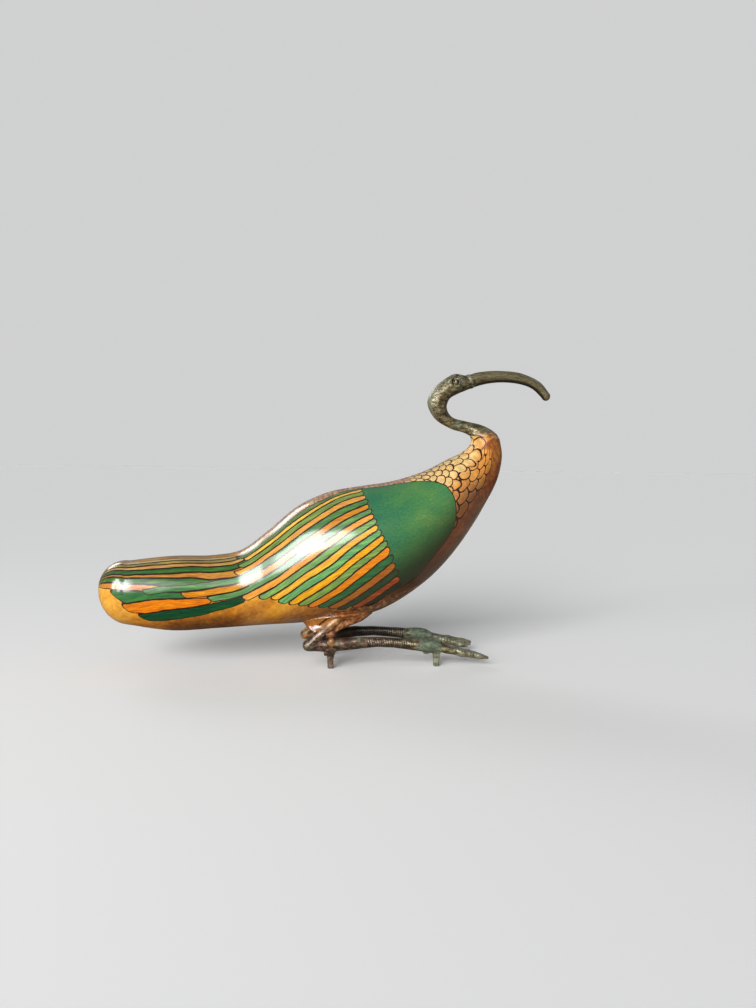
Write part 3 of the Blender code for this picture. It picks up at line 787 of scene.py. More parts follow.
def paint_body():
    """Lacquered paint in layers: gold ground, scales, tail, wing and shoulder patch. Steps of run,
    down and inside are between places in millimetres on the skin, and noise over a place has its
    scale in cells a metre."""
    material, tree, shader = material_tree("lacquered_paint")
    place = object_place(tree)
    patch_inside, run, down = mark(tree, "patch")

    # Gold ochre ground with brown stains, which also mottle the breast; clean at the tail end and
    # under the wing. Underneath it darkens to brown and near black, partly the paint's own brown
    # and partly painted shade. Along the top of the tail it turns olive brown, a painted reflection
    stain = noise(tree, (run * 0.045, down * 0.075, 1.0), 1.0, 5.0, 0.62)
    speckle = noise(tree, place, 260.0, 3.0, 0.6)
    clean = (run.step(62.0, 30.0) + run.step(105.0, 135.0) * run.step(200.0, 170.0)
             * down.step(108.0, 92.0)).lesser(1.0)
    # Darker under the tail and along the bottom: partly the paint's brown, partly painted shade
    under = run.step(40.0, 70.0) * run.step(150.0, 110.0) * down.step(66.0, 78.0)
    bottom = down.step(104.0, 124.0, 0.0, 0.10) * run.step(250.0, 215.0)
    gold = stain * 0.55 + clean * 0.13 - under * 0.17 - bottom + (speckle - 0.5) * 0.3 + 0.24
    colour = ramp(tree, gold + run.step(34.0, 12.0) * 0.08, GOLD)
    # The ridge of the tail turns olive brown: a painted reflection
    tail_top_reflection = down.step(10.0, 4.0) * run.step(130.0, 105.0) * 0.8
    colour = blend(tree, tail_top_reflection, colour, (0.26, 0.20, 0.11))
    throat = (stain * 0.6 + run.step(335.0, 385.0, 0.0, 0.16)
              + (speckle - 0.5) * run.step(300.0, 350.0, 0.25, 0.55))
    front = (run + down * 0.35).step(268.0, 315.0)
    colour = blend(tree, front, colour, ramp(tree, throat, BREAST))
    # Near black under the front of the body: partly the paint's brown, partly painted shade
    below = run.step(212.0, 245.0) * down.step(88.0, 104.0) * run.step(345.0, 320.0) * 0.8
    colour = blend(tree, below, colour, (0.075, 0.018, 0.008))

    # The thigh: gold behind the shank, reddish brown before it, and a pinkish knob
    slant = down + run * 0.85
    before = (slant - 300.0 + (stain - 0.5) * 12.0).step(-3.0, 3.0)
    on_thigh = down.step(122.0, 130.0)
    colour = blend(tree, on_thigh * before, colour, ramp(tree, speckle + stain * 0.3, LOBE))
    # A dark line along the crease over the shank: painted shade
    painted_crease_shade = (slant - 293.0 + (stain - 0.5) * 6.0).size().step(1.5, 0.6)
    colour = blend(tree, on_thigh * painted_crease_shade, colour, INK)
    colour = blend(tree, down.step(141.5, 143.0), colour, (0.20, 0.075, 0.035))

    # Scales: the fan on the side of the neck, then the rows on the back and the neck over it
    depth = down + (run - 320.0) * 0.4
    grain = speckle.step(0.32, 0.68, 0.78, 1.14)
    for name in ("fan", "scales"):
        tone, inside, row, column = use_group(tree, "painted_scales", (stored(tree, name),))
        _, _, zone = mark(tree, name)
        paint = ramp(tree, tone, UPPER_SCALES)
        if name == "fan":
            cover = (row.over(-0.5) * (4.5 - row).over(0.0) * zone.over(FAN_RANGE[0])
                     * (FAN_RANGE[1] - zone).over(0.0))
            ink_width = run.step(290.0, 370.0, 1.9, 1.4)
        else:
            on_neck = row.over(LAST_BACK_ROW)
            paint = blend(tree, on_neck, ramp(tree, tone, BACK_SCALES), paint)
            last_row = pick(tree, column.over(1.5), 46.5, pick(tree, column.over(2.5), 43.5, 41.5))
            cover = zone.over(0.0) * (last_row - row).over(0.0) * (5.5 - column).over(0.0)
            ink_width = pick(tree, on_neck, 1.15, run.step(290.0, 360.0, 1.8, 1.25))
        paint = blend(tree, depth.step(28.0, 44.0), paint, ramp(tree, tone, LOWER_SCALES))
        paint = shaded(tree, paint, grain)
        # The lowest scales darken to deep brown: painted shade
        paint = blend(tree, depth.step(44.0, 62.0, 0.0, 0.88), paint, (0.15, 0.045, 0.012))
        paint = blend(tree, inside.step(3.0, 1.2, 0.0, 0.45), paint, (0.50, 0.16, 0.04))
        paint = blend(tree, (inside - ink_width).step(0.25, -0.2), paint, (0.022, 0.007, 0.003))
        colour = blend(tree, cover, colour, paint)

    # Tail, then wing
    wobble = (noise(tree, (run * 0.05, down * 0.08, 5.0)) - 0.5) * 0.35
    thick = noise(tree, (run * 0.12, down * 0.3, 9.0)) * 0.7 + 0.62
    for name in ("tail", "wing"):
        paint, cover, inside, number = use_group(tree, name + "_feathers",
                                                 (stored(tree, name), wobble))
        red, _, _ = parts(tree, paint)
        tint = blend(tree, red.over(0.3), (1.9, 1.6, 1.1), (1.08, 1.4, 1.1))
        tint = blend(tree, 1.0, paint, tint, "MULTIPLY")
        painted = use_group(tree, "brushwork", (paint, tint, run + number * 37.0, down))[0]
        line = (inside - thick).step(0.0, -0.35)
        colour = blend(tree, cover, colour, blend(tree, line, painted, INK))

    # Shoulder patch, under the wing's front ends and over the scales
    light = noise(tree, (run * 0.04, down * 0.055, 7.0)) * 0.5 + 0.23
    hatch = noise(tree, (run * 0.08, down * 1.3, 4.0), 1.0, 3.0, 0.6)
    stroke = noise(tree, (run * 0.35 + down * 0.25, down * 0.6 - run * 0.3, 2.0), 1.0, 3.0, 0.6)
    light = (light + (hatch - 0.5) * 0.45 + (stroke - 0.5) * 0.55
             + run.step(240.0, 285.0, -0.12, 0.06))
    shade = (run * 0.5 + down).step(196.0, 238.0)
    green = blend(tree, shade * 0.93, ramp(tree, light, PATCH_GREENS), (0.012, 0.018, 0.005))
    green = blend(tree, patch_inside.step(1.2, 0.6), green, INK)
    colour = blend(tree, patch_inside.step(-0.3, 0.1) * (1.0 - cover), colour, green)

    # The lacquer is worn dull on the tail, behind the wing and on the neck
    plug(tree, shader.inputs["Base Color"], colour)
    shader.inputs["Roughness"].default_value = 0.45
    shader.inputs["Specular IOR Level"].default_value = 0.1
    dull = (run.step(24.0, 34.0) * run.step(124.0, 116.0) * 0.8
            + run.step(137.0, 142.0) * run.step(158.0, 146.0) * 0.6 + run.step(340.0, 362.0) * 0.85)
    plug(tree, shader.inputs["Coat Weight"], 1.0 - dull)
    shader.inputs["Coat IOR"].default_value = 1.78
    shader.inputs["Coat Roughness"].default_value = 0.15
    ripple = noise(tree, (run * 0.10, down * 0.28, 6.0))
    lumps = noise(tree, place, 140.0)
    add_relief(tree, shader, ripple * 0.35 + lumps * 0.5 + line * cover * 0.06, 0.6, 1.0)
    return material


# The thighs, of one piece with the body: each lump grows out of the belly with a soft hollow all
# round, runs forward along it, and tapers to a knob that rests on the lower leg over the rear peg.
LEG_SPREAD = 45
PEG_HEIGHT = 14.5
PEG_SPACING = 92.6
TARSUS_DEPTH = 11.3
REAR_PEG_X = TAIL_X + 0.5585 * BODY_LENGTH
TARSUS_TOP = PEG_HEIGHT + TARSUS_DEPTH
THIGH_TIP = 2.2              # height of the knob's round end
THIGH_STEP = 0.7
THIGH_COLUMNS = 88
THIGH_FILLET = 7.0           # height of the hollow where the thigh leaves the belly
THIGH_LUMPS = 1.6            # how uneven its carving is
THIGH_TOP = BELLY_UP + 14    # height where the thigh leaves the belly
THIGH_DOWN = 128             # what counts as down at that height

# Sections as shares of BODY_LENGTH from the rear peg: front point, back point, height over the
# lower leg, half width and distance from the middle plane
THIGH_SECTIONS = (
    (0.098, -0.052, 0.094, 0.028, 0.038),
    (0.097, -0.057, 0.060, 0.028, 0.038),
    (0.086, -0.058, 0.041, 0.024, 0.039),
    (0.060, -0.057, 0.029, 0.020, 0.043),
    (0.032, -0.054, 0.020, 0.017, 0.049),
    (0.017, -0.044, 0.014, 0.015, 0.056),
    (0.013, -0.018, 0.010, 0.0145, 0.060),
    (0.012, -0.012, 0.006, 0.013, 0.061),
)


def belly_height(x, y):
    """Height of the belly over a point: the section that passes over it is found by stepping
    along the body, and its lower half is a superellipse."""
    table = body_rows
    place = np.interp(x, table[:, 2], np.arange(len(table)))
    for _ in range(5):
        section = np.stack([np.interp(place, np.arange(len(table)), part) for part in table.T])
        share = np.clip(np.abs(y) / section[4], 0, 0.98)
        drop = (1 - share ** section[5]) ** (1 / section[5])
        here = (section[0] + section[2]) / 2 - (section[0] - section[2]) / 2 * drop
        place = np.clip(place + (x - here) / BODY_STEP, 0, len(table) - 1)
    return (section[1] + section[3]) / 2 - (section[1] - section[3]) / 2 * drop


def thigh_rings(side):
    table = np.array(THIGH_SECTIONS) * BODY_LENGTH
    height = TARSUS_TOP + JOINT_GAP + THIGH_TIP + table[:, 2] - table[-1, 2]
    rows = np.stack([REAR_PEG_X + table[:, 0], height, REAR_PEG_X + table[:, 1], height,
                     table[:, 3], np.full(len(table), ROUND), side * table[:, 4]], axis=-1)
    sections, _ = spaced_sections(rows, THIGH_STEP)
    knob, _ = rounded_end(sections[-1], (0, -1), THIGH_TIP, 8)
    rings = section_rings(np.vstack([sections, knob]), THIGH_COLUMNS)
    below = belly_height(rings[..., 0], rings[..., 1]) - rings[..., 2]
    flare = np.clip(THIGH_FILLET - below, 0, THIGH_FILLET) ** 2 / (2 * THIGH_FILLET)
    outward = outwards(rings)
    rings = rings + outward * (flare * (below > -1))[..., None]
    lumps = THIGH_LUMPS * (waves(rings, 17, 11) - 0.5) * slope(below, 0, 4)
    return rings + outward * lumps[..., None]


lacquered_paint = paint_body()
body_skins = [closed_skin(pressed_in(body_rings, CARVING_DEPTH, CARVING_LENGTH, 3))]
# Marks for the thighs, which have no feathers and no scales
BARE = {"wing": (OUTSIDE, 0, 6), "tail": (OUTSIDE, 0, 6), "fan": (OUTSIDE, 0, 0),
        "scales": (-20, 0, OUTSIDE)}
for side in (-1, 1):
    rings = thigh_rings(side)
    body_skins.append(closed_skin(rings))
    for name, values in BARE.items():
        body_marks[name].append(np.tile(values, (len(body_skins[-1][0]), 1)))
    run = rings[..., 0] - TAIL_X
    down = THIGH_DOWN + (THIGH_TOP - rings[..., 2])
    patch = np.stack([np.full_like(run, OUTSIDE), run, down], axis=-1)
    body_marks["patch"].append(with_poles(patch))
add_piece("painted_body", body_skins, body_marks, lacquered_paint, "body")


# The neck, head and bill: one bronze casting with a long down-curved bill, a line along each side
# where its two halves meet, a raised ring round each eye and a thin collar where the bill starts.
# Its flared foot sits on the wooden neck, the paint runs a little way up over the joint, and the
# sides of the bill are rubbed in khaki streaks.
CREST_RISE = 60              # joint to the crown of the bill
NECK_BACKSET = 53.5          # joint back to the rear of the bend
BILL_REACH = 61              # joint forward to the end of the bill
HEAD_WIDTH = 17
BILL_TIP = 4.5               # length of the rounding at the end
BILL_GROOVE, MOUTH_ANGLE = 0.6, 136      # depth, and degrees from the bill's top line
RIDGE_GROOVE, RIDGE_ANGLE = 0.18, 56
EYE_RING, EYE_RIM, EYE_BALL = 9.2, 1.1, 3.4     # ring across, its wire, and the ball across
EYE_ALONG, EYE_UP, EYE_OUT = -0.550, 0.812, 0.46     # shares, as in the sections below
SOCKET_DEPTH = 0.7           # hollow inside the ring
BROW_PLACE, BROW_WIDTH, BROW_LIFT = (2.5, 7.2), 4.5, 1.0     # bump ahead of the eye and over it
COLLAR_ALONG, COLLAR_WIDTH, COLLAR_LIFT = -0.315, 3.4, 0.55
BILL_ALONG = -0.27           # where the bill starts
CASTING_DENTS = ((0.4, 16, 5), (0.2, 5, 6))     # depth, length and seed of each
BALL_CAP = 0.06              # radians from the eyeball's pole to its first ring
NECK_STEP = 0.75
NECK_COLUMNS = 96

# Sections from the middle of the joint, as shares of NECK_BACKSET behind it, of BILL_REACH before
# it and of CREST_RISE up: outer point, inner point, and width as a share of HEAD_WIDTH
NECK_SECTIONS = (
    (-0.280, 0.036, 0.172, 0.058, 1.45),
    (-0.305, 0.046, 0.068, 0.137, 1.18),
    (-0.335, 0.055, -0.090, 0.200, 0.90),
    (-0.390, 0.073, -0.250, 0.232, 0.72),
    (-0.614, 0.131, -0.532, 0.288, 0.64),
    (-0.872, 0.274, -0.640, 0.380, 0.80),
    (-0.998, 0.504, -0.658, 0.480, 0.94),
    (-0.926, 0.680, -0.614, 0.566, 0.97),
    (-0.735, 0.846, -0.489, 0.636, 1.00),
    (-0.547, 0.936, -0.369, 0.683, 0.99),
    (-0.362, 0.924, -0.268, 0.721, 0.82),
    (-0.156, 0.970, -0.119, 0.773, 0.66),
    (0.232, 1.003, 0.216, 0.829, 0.55),
    (0.578, 0.962, 0.535, 0.806, 0.48),
    (0.830, 0.843, 0.716, 0.739, 0.44),
    (0.976, 0.676, 0.849, 0.622, 0.42),
)


def neck_sections():
    """The solid's sections from the joint round the bend and along the bill, finely spaced."""
    last = BODY_SECTIONS[-1]
    rear = np.array((TAIL_X + last[0] * BODY_LENGTH, BELLY_UP + last[1] * BODY_HEIGHT))
    front = np.array((TAIL_X + last[2] * BODY_LENGTH, BELLY_UP + last[3] * BODY_HEIGHT))
    middle = (rear + front) / 2
    table = np.array(NECK_SECTIONS)
    rows = np.zeros((len(table) + 1, 7))
    rows[0, :5] = (*rear, *front, last[4] * BODY_WIDTH / 2)
    for column in (0, 2):
        share = table[:, column]
        rows[1:, column] = middle[0] + share * np.where(share < 0, NECK_BACKSET, BILL_REACH)
        rows[1:, column + 1] = middle[1] + table[:, column + 1] * CREST_RISE
    rows[1:, 4] = table[:, 4] * HEAD_WIDTH / 2
    rows[:, 5] = ROUND
    sections, run = spaced_sections(rows, NECK_STEP)
    across = sections[-1][0:2] - sections[-1][2:4]
    forward = np.array((across[1], -across[0])) / np.linalg.norm(across)
    tip, tip_run = rounded_end(sections[-1], forward, BILL_TIP, 14)
    return np.vstack([sections, tip]), np.concatenate([run, run[-1] + tip_run]), middle


def torus_skin(middle, radius, thickness, rows=48, columns=20):
    """Ring that stands square to y: a small circle carried round a large one."""
    turn, roll = np.meshgrid(np.arange(rows) * math.tau / rows,
                             np.arange(columns) * math.tau / columns, indexing="ij")
    out = radius + thickness / 2 * np.cos(roll)
    points = np.stack([middle[0] + out * np.cos(turn), middle[1] + thickness / 2 * np.sin(roll),
                       middle[2] + out * np.sin(turn)], axis=-1).reshape(-1, 3)
    number = np.arange(rows * columns).reshape(rows, columns)
    after = np.roll(number, -1, axis=1)
    quads = np.stack([number, after, np.roll(after, -1, axis=0), np.roll(number, -1, axis=0)],
                     axis=-1).reshape(-1, 4)
    return points, facing_out(points, quads)


def ball_skin(middle, sizes, rows=20, columns=32):
    """Ellipsoid with poles along y: rings whose radius is the sine of the angle from a pole."""
    angle = np.linspace(BALL_CAP, math.pi - BALL_CAP, rows)[:, None]
    turn = np.arange(columns)[None] * math.tau / columns
    rings = np.stack([middle[0] + sizes[0] * np.sin(angle) * np.cos(turn),
                      middle[1] + sizes[1] * np.cos(angle) * np.ones_like(turn),
                      middle[2] + sizes[2] * np.sin(angle) * np.sin(turn)], axis=-1)
    return closed_skin(rings)


neck_rows, neck_run, neck_joint = neck_sections()
neck_rings = section_rings(neck_rows, NECK_COLUMNS)
neck_angle = np.arange(NECK_COLUMNS)[None] * 360 / NECK_COLUMNS
from_top = np.minimum(neck_angle, 360 - neck_angle)          # degrees from the outer line
outward = outwards(neck_rings)
run_there = neck_run[:, None]


def along_bill(share):
    return neck_joint[0] + share * (NECK_BACKSET if share < 0 else BILL_REACH)


over_neck = neck_rings[..., 2].mean(axis=1, keepdims=True) > neck_joint[1] + 0.5 * CREST_RISE
ring_x = neck_rows[:, 0:1]
half_width = neck_rows[:, 4:5]
on_bill = over_neck * slope(ring_x, along_bill(BILL_ALONG), 3)
small = slope(half_width, 0, 3)
blunt = slope(run_there, neck_run[-1] - 3, -8)
groove = on_bill * small * blunt * (BILL_GROOVE * bump(from_top, MOUTH_ANGLE, 6)
                                    + RIDGE_GROOVE * bump(from_top, RIDGE_ANGLE, 5))
collar = over_neck * COLLAR_LIFT * bump(ring_x, along_bill(COLLAR_ALONG), COLLAR_WIDTH / 2)
eye = np.array((along_bill(EYE_ALONG), HEAD_WIDTH * EYE_OUT, neck_joint[1] + EYE_UP * CREST_RISE))
eye_x, eye_z = ((neck_rings - eye * (1, 0, 1))[..., part] for part in (0, 2))
from_eye = np.hypot(eye_x, eye_z)
from_brow = np.hypot(eye_x - BROW_PLACE[0], eye_z - BROW_PLACE[1])
sideways = np.abs(np.sin(np.radians(neck_angle)))
brow = BROW_LIFT * bump(from_brow, 0, BROW_WIDTH) * (0.4 + 0.6 * sideways) * over_neck
socket = -SOCKET_DEPTH * bump(from_eye, EYE_RING / 2 - 1.9, 1.0) * over_neck
dents = -sum(depth * waves(neck_rings, length, seed) for depth, length, seed in CASTING_DENTS)
dents *= small * (1 - 0.7 * on_bill)
neck_rings = neck_rings + outward * (collar + brow + socket - groove + dents)[..., None]

# Pale on the crown and the back of the bend, partly worn and partly a painted highlight, and worn
# bright on the collar and the bill. Dark in the grooves, fore and aft of the eye and behind the
# collar; painted shade under the mouth line and inside the bend; ochre paint just over the joint.
# Places are millimetres from the joint along the neck, or degrees from its outer line
worn_and_sheen = reduce(np.maximum, (
    # Crown and back of the bend: partly wear, partly painted highlight
    over_neck * (0.5 + 0.5 * np.cos(np.radians(from_top))) ** 2 * 0.72,
    bump(run_there, 62, 26) * bump(from_top, 20, 45),
    collar * 1.8,
    0.4 * on_bill * slope(from_top, 130, -20)))
crescents = bump(from_eye, EYE_RING / 2 - 1.6, 1.5) * (eye_x / np.maximum(from_eye, 0.1)) ** 2
deep_and_shaded = reduce(np.maximum, (
    np.clip(groove / BILL_GROOVE * 1.3 + over_neck * crescents * 2, 0, 1),
    # Below the mouth line: painted shade
    on_bill * slope(from_top, MOUTH_ANGLE, 8) * 0.9,
    over_neck * 0.8 * bump(ring_x, along_bill(COLLAR_ALONG) - 4.2, 1.6) * bump(from_top, 50, 25),
    # Inside the bend: painted shade
    bump(run_there, 80, 50) * bump(from_top, 180, 55) * 0.8))
painted = np.clip(1 - run_there / (6 + 7 * (from_top > 60)), 0, 1)
neck_marks = [with_poles(np.stack([worn_and_sheen, deep_and_shaded, painted], axis=-1))]

head_skins = [closed_skin(neck_rings)]
for side in (-1, 1):
    place = eye * (1, side, 1)
    rim = torus_skin(place - (0, side * 0.6, 0), (EYE_RING - EYE_RIM) / 2, EYE_RIM)
    ball = ball_skin(place - (0, side * 0.5, 0), (EYE_BALL / 2, EYE_BALL / 1.8, EYE_BALL / 1.15))
    for skin, marks in ((rim, (0.1, 0.45, 0)), (ball, (0.35, 0, 0))):
        head_skins.append(skin)
        neck_marks.append(np.tile(marks, (len(skin[0]), 1)))


# Metal tones, each as stops from dark to light: bare, pinkish brown, bloomed, the bill's streaks,
# and the ochre paint on the joints
BARE_METAL = ((0.37, (0.022, 0.016, 0.007)), (0.46, (0.105, 0.080, 0.036)),
              (0.54, (0.230, 0.185, 0.095)), (0.63, (0.44, 0.39, 0.23)))
PINK_METAL = ((0.38, (0.022, 0.012, 0.009)), (0.48, (0.085, 0.047, 0.036)),
              (0.56, (0.20, 0.115, 0.085)), (0.66, (0.42, 0.27, 0.19)))
BLOOM = ((0.38, (0.028, 0.036, 0.020)), (0.50, (0.120, 0.145, 0.090)), (0.63, (0.32, 0.38, 0.27)))
KHAKI = ((0.34, (0.065, 0.052, 0.022)), (0.48, (0.17, 0.145, 0.070)), (0.64, (0.30, 0.265, 0.155)))
OCHRE = ((0.36, (0.10, 0.04, 0.012)), (0.50, (0.30, 0.14, 0.05)), (0.64, (0.56, 0.31, 0.12)))


def make_patina():
    """Old bronze, mottled all over: brown and olive metal, grey-green bloom, dark in the hollows
    and where painted shade is marked, pale where it is worn or a painted highlight is marked. The
    marks are wear with painted highlight, hollow with painted shade, and ochre paint; Green adds
    verdigris and Warm turns the bare metal pinkish brown. The noises have their scale in cells a
    metre."""
    tree, (marks, warm, green), out = group(
        "patina", {"Marks": VECTOR, "Warm": NUMBER, "Green": NUMBER},
        {"Color": COLOUR, "Roughness": NUMBER, "Metallic": NUMBER, "Height": NUMBER})
    worn_and_sheen, hollow_and_shade, _ = parts(tree, marks)
    place = object_place(tree)
    x, y, z = parts(tree, place)
    patches = noise(tree, place, 110.0, 3.0, 0.6)
    mottle = noise(tree, (x * 0.55, y, z), 420.0, 4.0, 0.7)
    fine = noise(tree, place, 900.0, 3.0, 0.7)
    pits = noise(tree, place, 1500.0, 2.0, 0.6)
    mixed = mottle * 0.75 + patches * 0.25
    metal = blend(tree, warm, ramp(tree, mixed, BARE_METAL), ramp(tree, mixed, PINK_METAL))
    bloomed = (noise(tree, place, 75.0, 3.0, 0.6) + green).step(0.50, 0.80)
    calm = green.step(0.15, 0.32) * 0.5
    bloom = blend(tree, calm, ramp(tree, mottle, BLOOM), (0.115, 0.145, 0.095))
    colour = blend(tree, bloomed, metal, bloom)
    # Pale where worn, and a painted highlight where the marks carry one
    rubbed_and_sheen = (worn_and_sheen * 0.9 + mottle * 1.6 - 0.85).step(0.30, 0.75)
    pale = blend(tree, warm, (0.37, 0.36, 0.25), (0.42, 0.30, 0.23))
    colour = blend(tree, rubbed_and_sheen * (1.0 - hollow_and_shade) * 0.8, colour, pale)
    # Near black in the hollows and grime, and painted shade where the marks carry it
    grime_and_shade = (hollow_and_shade * 1.1 + patches * 0.5 - 0.3).step(0.10, 0.9)
    colour = blend(tree, grime_and_shade, colour, (0.018, 0.013, 0.007))
    pitted = pits.step(0.60, 0.70, 0.0, 0.6) * (1.0 - calm)
    colour = blend(tree, pitted, colour, (0.02, 0.018, 0.01))
    rough = bloomed.step(0.0, 1.0, 0.40, 0.60) - rubbed_and_sheen * 0.12 - warm * 0.10
    plug_all(tree, out, (colour, rough, bloomed.step(0.0, 1.0, 0.60, 0.30),
                         mottle * 0.6 + fine * 0.3 + pits * 0.1))


make_patina()


def bronze_material(name):
    """Patinated bronze, with streaks on the bill and, where the mark says so, ochre paint."""
    material, tree, shader = material_tree(name)
    warm, green, dark = mark(tree, "tint")
    colour, rough, metallic, height = use_group(tree, "patina",
                                                (stored(tree, "metal"), warm, green))
    # Darker where the tint says so: painted shade on the far leg
    colour = blend(tree, dark, colour, (0.012, 0.010, 0.007))
    bill_side, along, round_it = mark(tree, "bill")
    streak = noise(tree, (along * 0.10, round_it * 1.1), 1.0, 4.0, 0.6)
    colour = blend(tree, bill_side * 0.72, colour, ramp(tree, streak, KHAKI))
    _, _, painted = mark(tree, "metal")
    place = object_place(tree)
    ragged = noise(tree, place, 300.0, 4.0, 0.7)
    cover = (painted + (ragged - 0.5) * 1.1).step(0.30, 0.75)
    ochre = ramp(tree, noise(tree, place, 210.0, 4.0, 0.6), OCHRE)
    plug(tree, shader.inputs["Base Color"], blend(tree, cover, colour, ochre))
    plug(tree, shader.inputs["Roughness"], pick(tree, cover, rough, 0.3))
    plug(tree, shader.inputs["Metallic"], metallic * (1.0 - cover))
    shader.inputs["Coat Weight"].default_value = 0.3
    shader.inputs["Coat Roughness"].default_value = 0.22
    add_relief(tree, shader, height, 0.8, 0.8)
    return material


neck_tints = [np.tile((0.0, 0.03, 0.0), (len(skin[0]), 1)) for skin in head_skins]
side_of_bill = on_bill * slope(from_top, MOUTH_ANGLE + 4, -8)
bill_grid = np.broadcast_arrays(side_of_bill, run_there, from_top * half_width / 50)
bill_marks = [with_poles(np.stack(bill_grid, axis=-1))]
bill_marks += [np.zeros((len(skin[0]), 3)) for skin in head_skins[1:]]
old_bronze = bronze_material("old_bronze")
add_piece("cast_neck_and_head", head_skins,
          {"metal": neck_marks, "tint": neck_tints, "bill": bill_marks}, old_bronze,
          "neck_and_head")


# The legs: each is one bronze casting, folded flat. The shank comes out of the thigh and runs down
# to the hock, the long lower leg runs forward over two square pegs, and three toes spread from the
# knuckle. The lower leg is engraved with fine cross lines, worn bright; verdigris sits at the foot,
# ochre paint on the shank and the knob, and on the hock of the far leg.
TARSUS_WAIST = 8.7           # depth of the lower leg, the tarsus, where it is thinnest
TARSUS_ARCH = 1.9            # how far it bends up between the pegs
FOOT_DEPTH = 10.2
FOOT_DROP = 2.8              # how much lower the foot lies
HEEL_LENGTH = 19             # hock to rear peg
HOCK_DEPTH = 9.8
SHANK_DEPTH = 8.4
SHANK_RUN, SHANK_RISE, SHANK_LEAN = 35, 31, 5.5     # how far it goes ahead, up and inwards
TOE_LENGTH, TOE_DEPTH, TOE_SPLAY, TOE_DROP = 45, 8.0, 7.2, 9
TOE_TIP = 1.5                # the rounded end, past the last section
TUBE_STEP = 0.8
PEG_FOOT, PEG_ROOT, PEG_FLARE = 4.6, 6.0, 1.6     # width at the foot and the root; flare at the top
PEG_CHAMFER = 0.75
TOE_SWELLS = ((-0.06, 0.8), (0.10, 0.88), (0.24, 0.84), (0.38, 0.80), (0.50, 0.90), (0.62, 0.74),
              (0.74, 0.68), (0.84, 0.70), (0.93, 0.52), (1.0, 0.36))
TOES = ((1, 1.0), (0, 0.94), (-1, 0.84))     # sideways direction and length of each toe
LINES_FROM, LINES_TO = 28, 74                # engraved stretch, measured from the rear peg
LINE_PITCH, LINE_DEPTH = 2.0, 0.3
TOE_LINE_PITCH, TOE_LINE_DEPTH = 2.6, 0.2
METAL_GRAIN = 0.45           # side of the little squares that the casting is cut into
GRAIN_ROUNDS = 4             # how often they are smoothed
LEG_Y = LEG_SPREAD / 2
TARSUS_UP = PEG_HEIGHT + TARSUS_DEPTH / 2
HOCK_X = REAR_PEG_X - HEEL_LENGTH
FRONT_PEG_X = REAR_PEG_X + PEG_SPACING
KNOB_PLACE = (REAR_PEG_X + 0.5, LEG_Y + 3.4, TARSUS_TOP - 1.8)     # a knob on the outer side
KNOB_SIZES = (3.0, 2.7, 3.6)


def tube_skin(path, columns, tip=2.0):
    """Skin round a path of (x, z, depth, half width, squareness, y) points, with round ends."""
    path = np.array(path, float)
    course = np.gradient(path[:, 0:2], axis=0)
    course /= np.linalg.norm(course, axis=1)[:, None]
    across = np.stack([-course[:, 1], course[:, 0]], axis=1) * path[:, 2:3] / 2
    rows = np.hstack([path[:, 0:2] + across, path[:, 0:2] - across, path[:, 3:6]])
    sections, _ = spaced_sections(rows, TUBE_STEP)
    start, _ = rounded_end(sections[0], -course[0], tip, 5)
    end, _ = rounded_end(sections[-1], course[-1], tip, 5)
    return closed_skin(section_rings(np.vstack([start[::-1], sections, end]), columns))


def tarsus_path():
    rows = [(HOCK_X, TARSUS_UP, HOCK_DEPTH, HOCK_DEPTH * 0.45, 2.0, LEG_Y)]
    for share, rise, depth, flatness in (
            (0.00, 0.0, TARSUS_DEPTH, 0.42),
            (0.16, TARSUS_ARCH * 0.4, TARSUS_DEPTH * 0.95, 0.44),
            (0.44, TARSUS_ARCH, TARSUS_WAIST, 0.50),
            (0.78, -FOOT_DROP * 0.3, TARSUS_WAIST * 1.12, 0.50),
            (1.00, -FOOT_DROP, FOOT_DEPTH, 0.52),
            (1.05, -FOOT_DROP * 1.2, FOOT_DEPTH * 0.6, 0.75)):
        rows.append((REAR_PEG_X + PEG_SPACING * share, TARSUS_UP + rise, depth, depth * flatness,
                     2.1, LEG_Y))
    return rows


def shank_path():
    rows = []
    for share in (0, 0.25, 0.5, 0.8, 1):
        depth = HOCK_DEPTH if share < 0.5 else SHANK_DEPTH
        rows.append((HOCK_X + SHANK_RUN * share, TARSUS_UP + SHANK_RISE * share, depth, depth / 2,
                     2.0, LEG_Y - SHANK_LEAN * share**3))
    return rows


def toe_path(splay, reach):
    rows = []
    for share, depth in TOE_SWELLS:
        ahead = max(share, 0)
        rows.append((FRONT_PEG_X + (TOE_LENGTH - TOE_TIP) * reach * share,
                     TARSUS_UP - FOOT_DROP - TOE_DROP * ahead**0.8,
                     TOE_DEPTH * depth, TOE_DEPTH * depth * 0.44, 2.2,
                     LEG_Y + TOE_SPLAY * splay * (0.2 + 0.8 * ahead)))
    return rows


def peg_skin(x, top):
    """Square peg with chamfered corners that grows from foot to root and flares at the top."""
    height = np.linspace(0, 1, 12)[:, None] * top
    turn = np.arange(32)[None] * math.tau / 32 + math.pi / 32
    flare = np.clip(height / PEG_HEIGHT - 0.5, 0, 0.5) ** 2 * PEG_FLARE * 4
    half = (PEG_FOOT + (PEG_ROOT - PEG_FOOT) * height / top) / 2 + flare
    square = 1 / np.maximum(np.abs(np.cos(turn)), np.abs(np.sin(turn)))
    diamond = 1 / (np.abs(np.cos(turn)) + np.abs(np.sin(turn)))
    corner = np.minimum(square, (2 - 2 * PEG_CHAMFER / PEG_ROOT) * diamond)
    return closed_skin(np.stack([x + half * corner * np.cos(turn),
                                 LEG_Y + half * corner * np.sin(turn),
                                 height * np.ones_like(turn)], axis=-1))


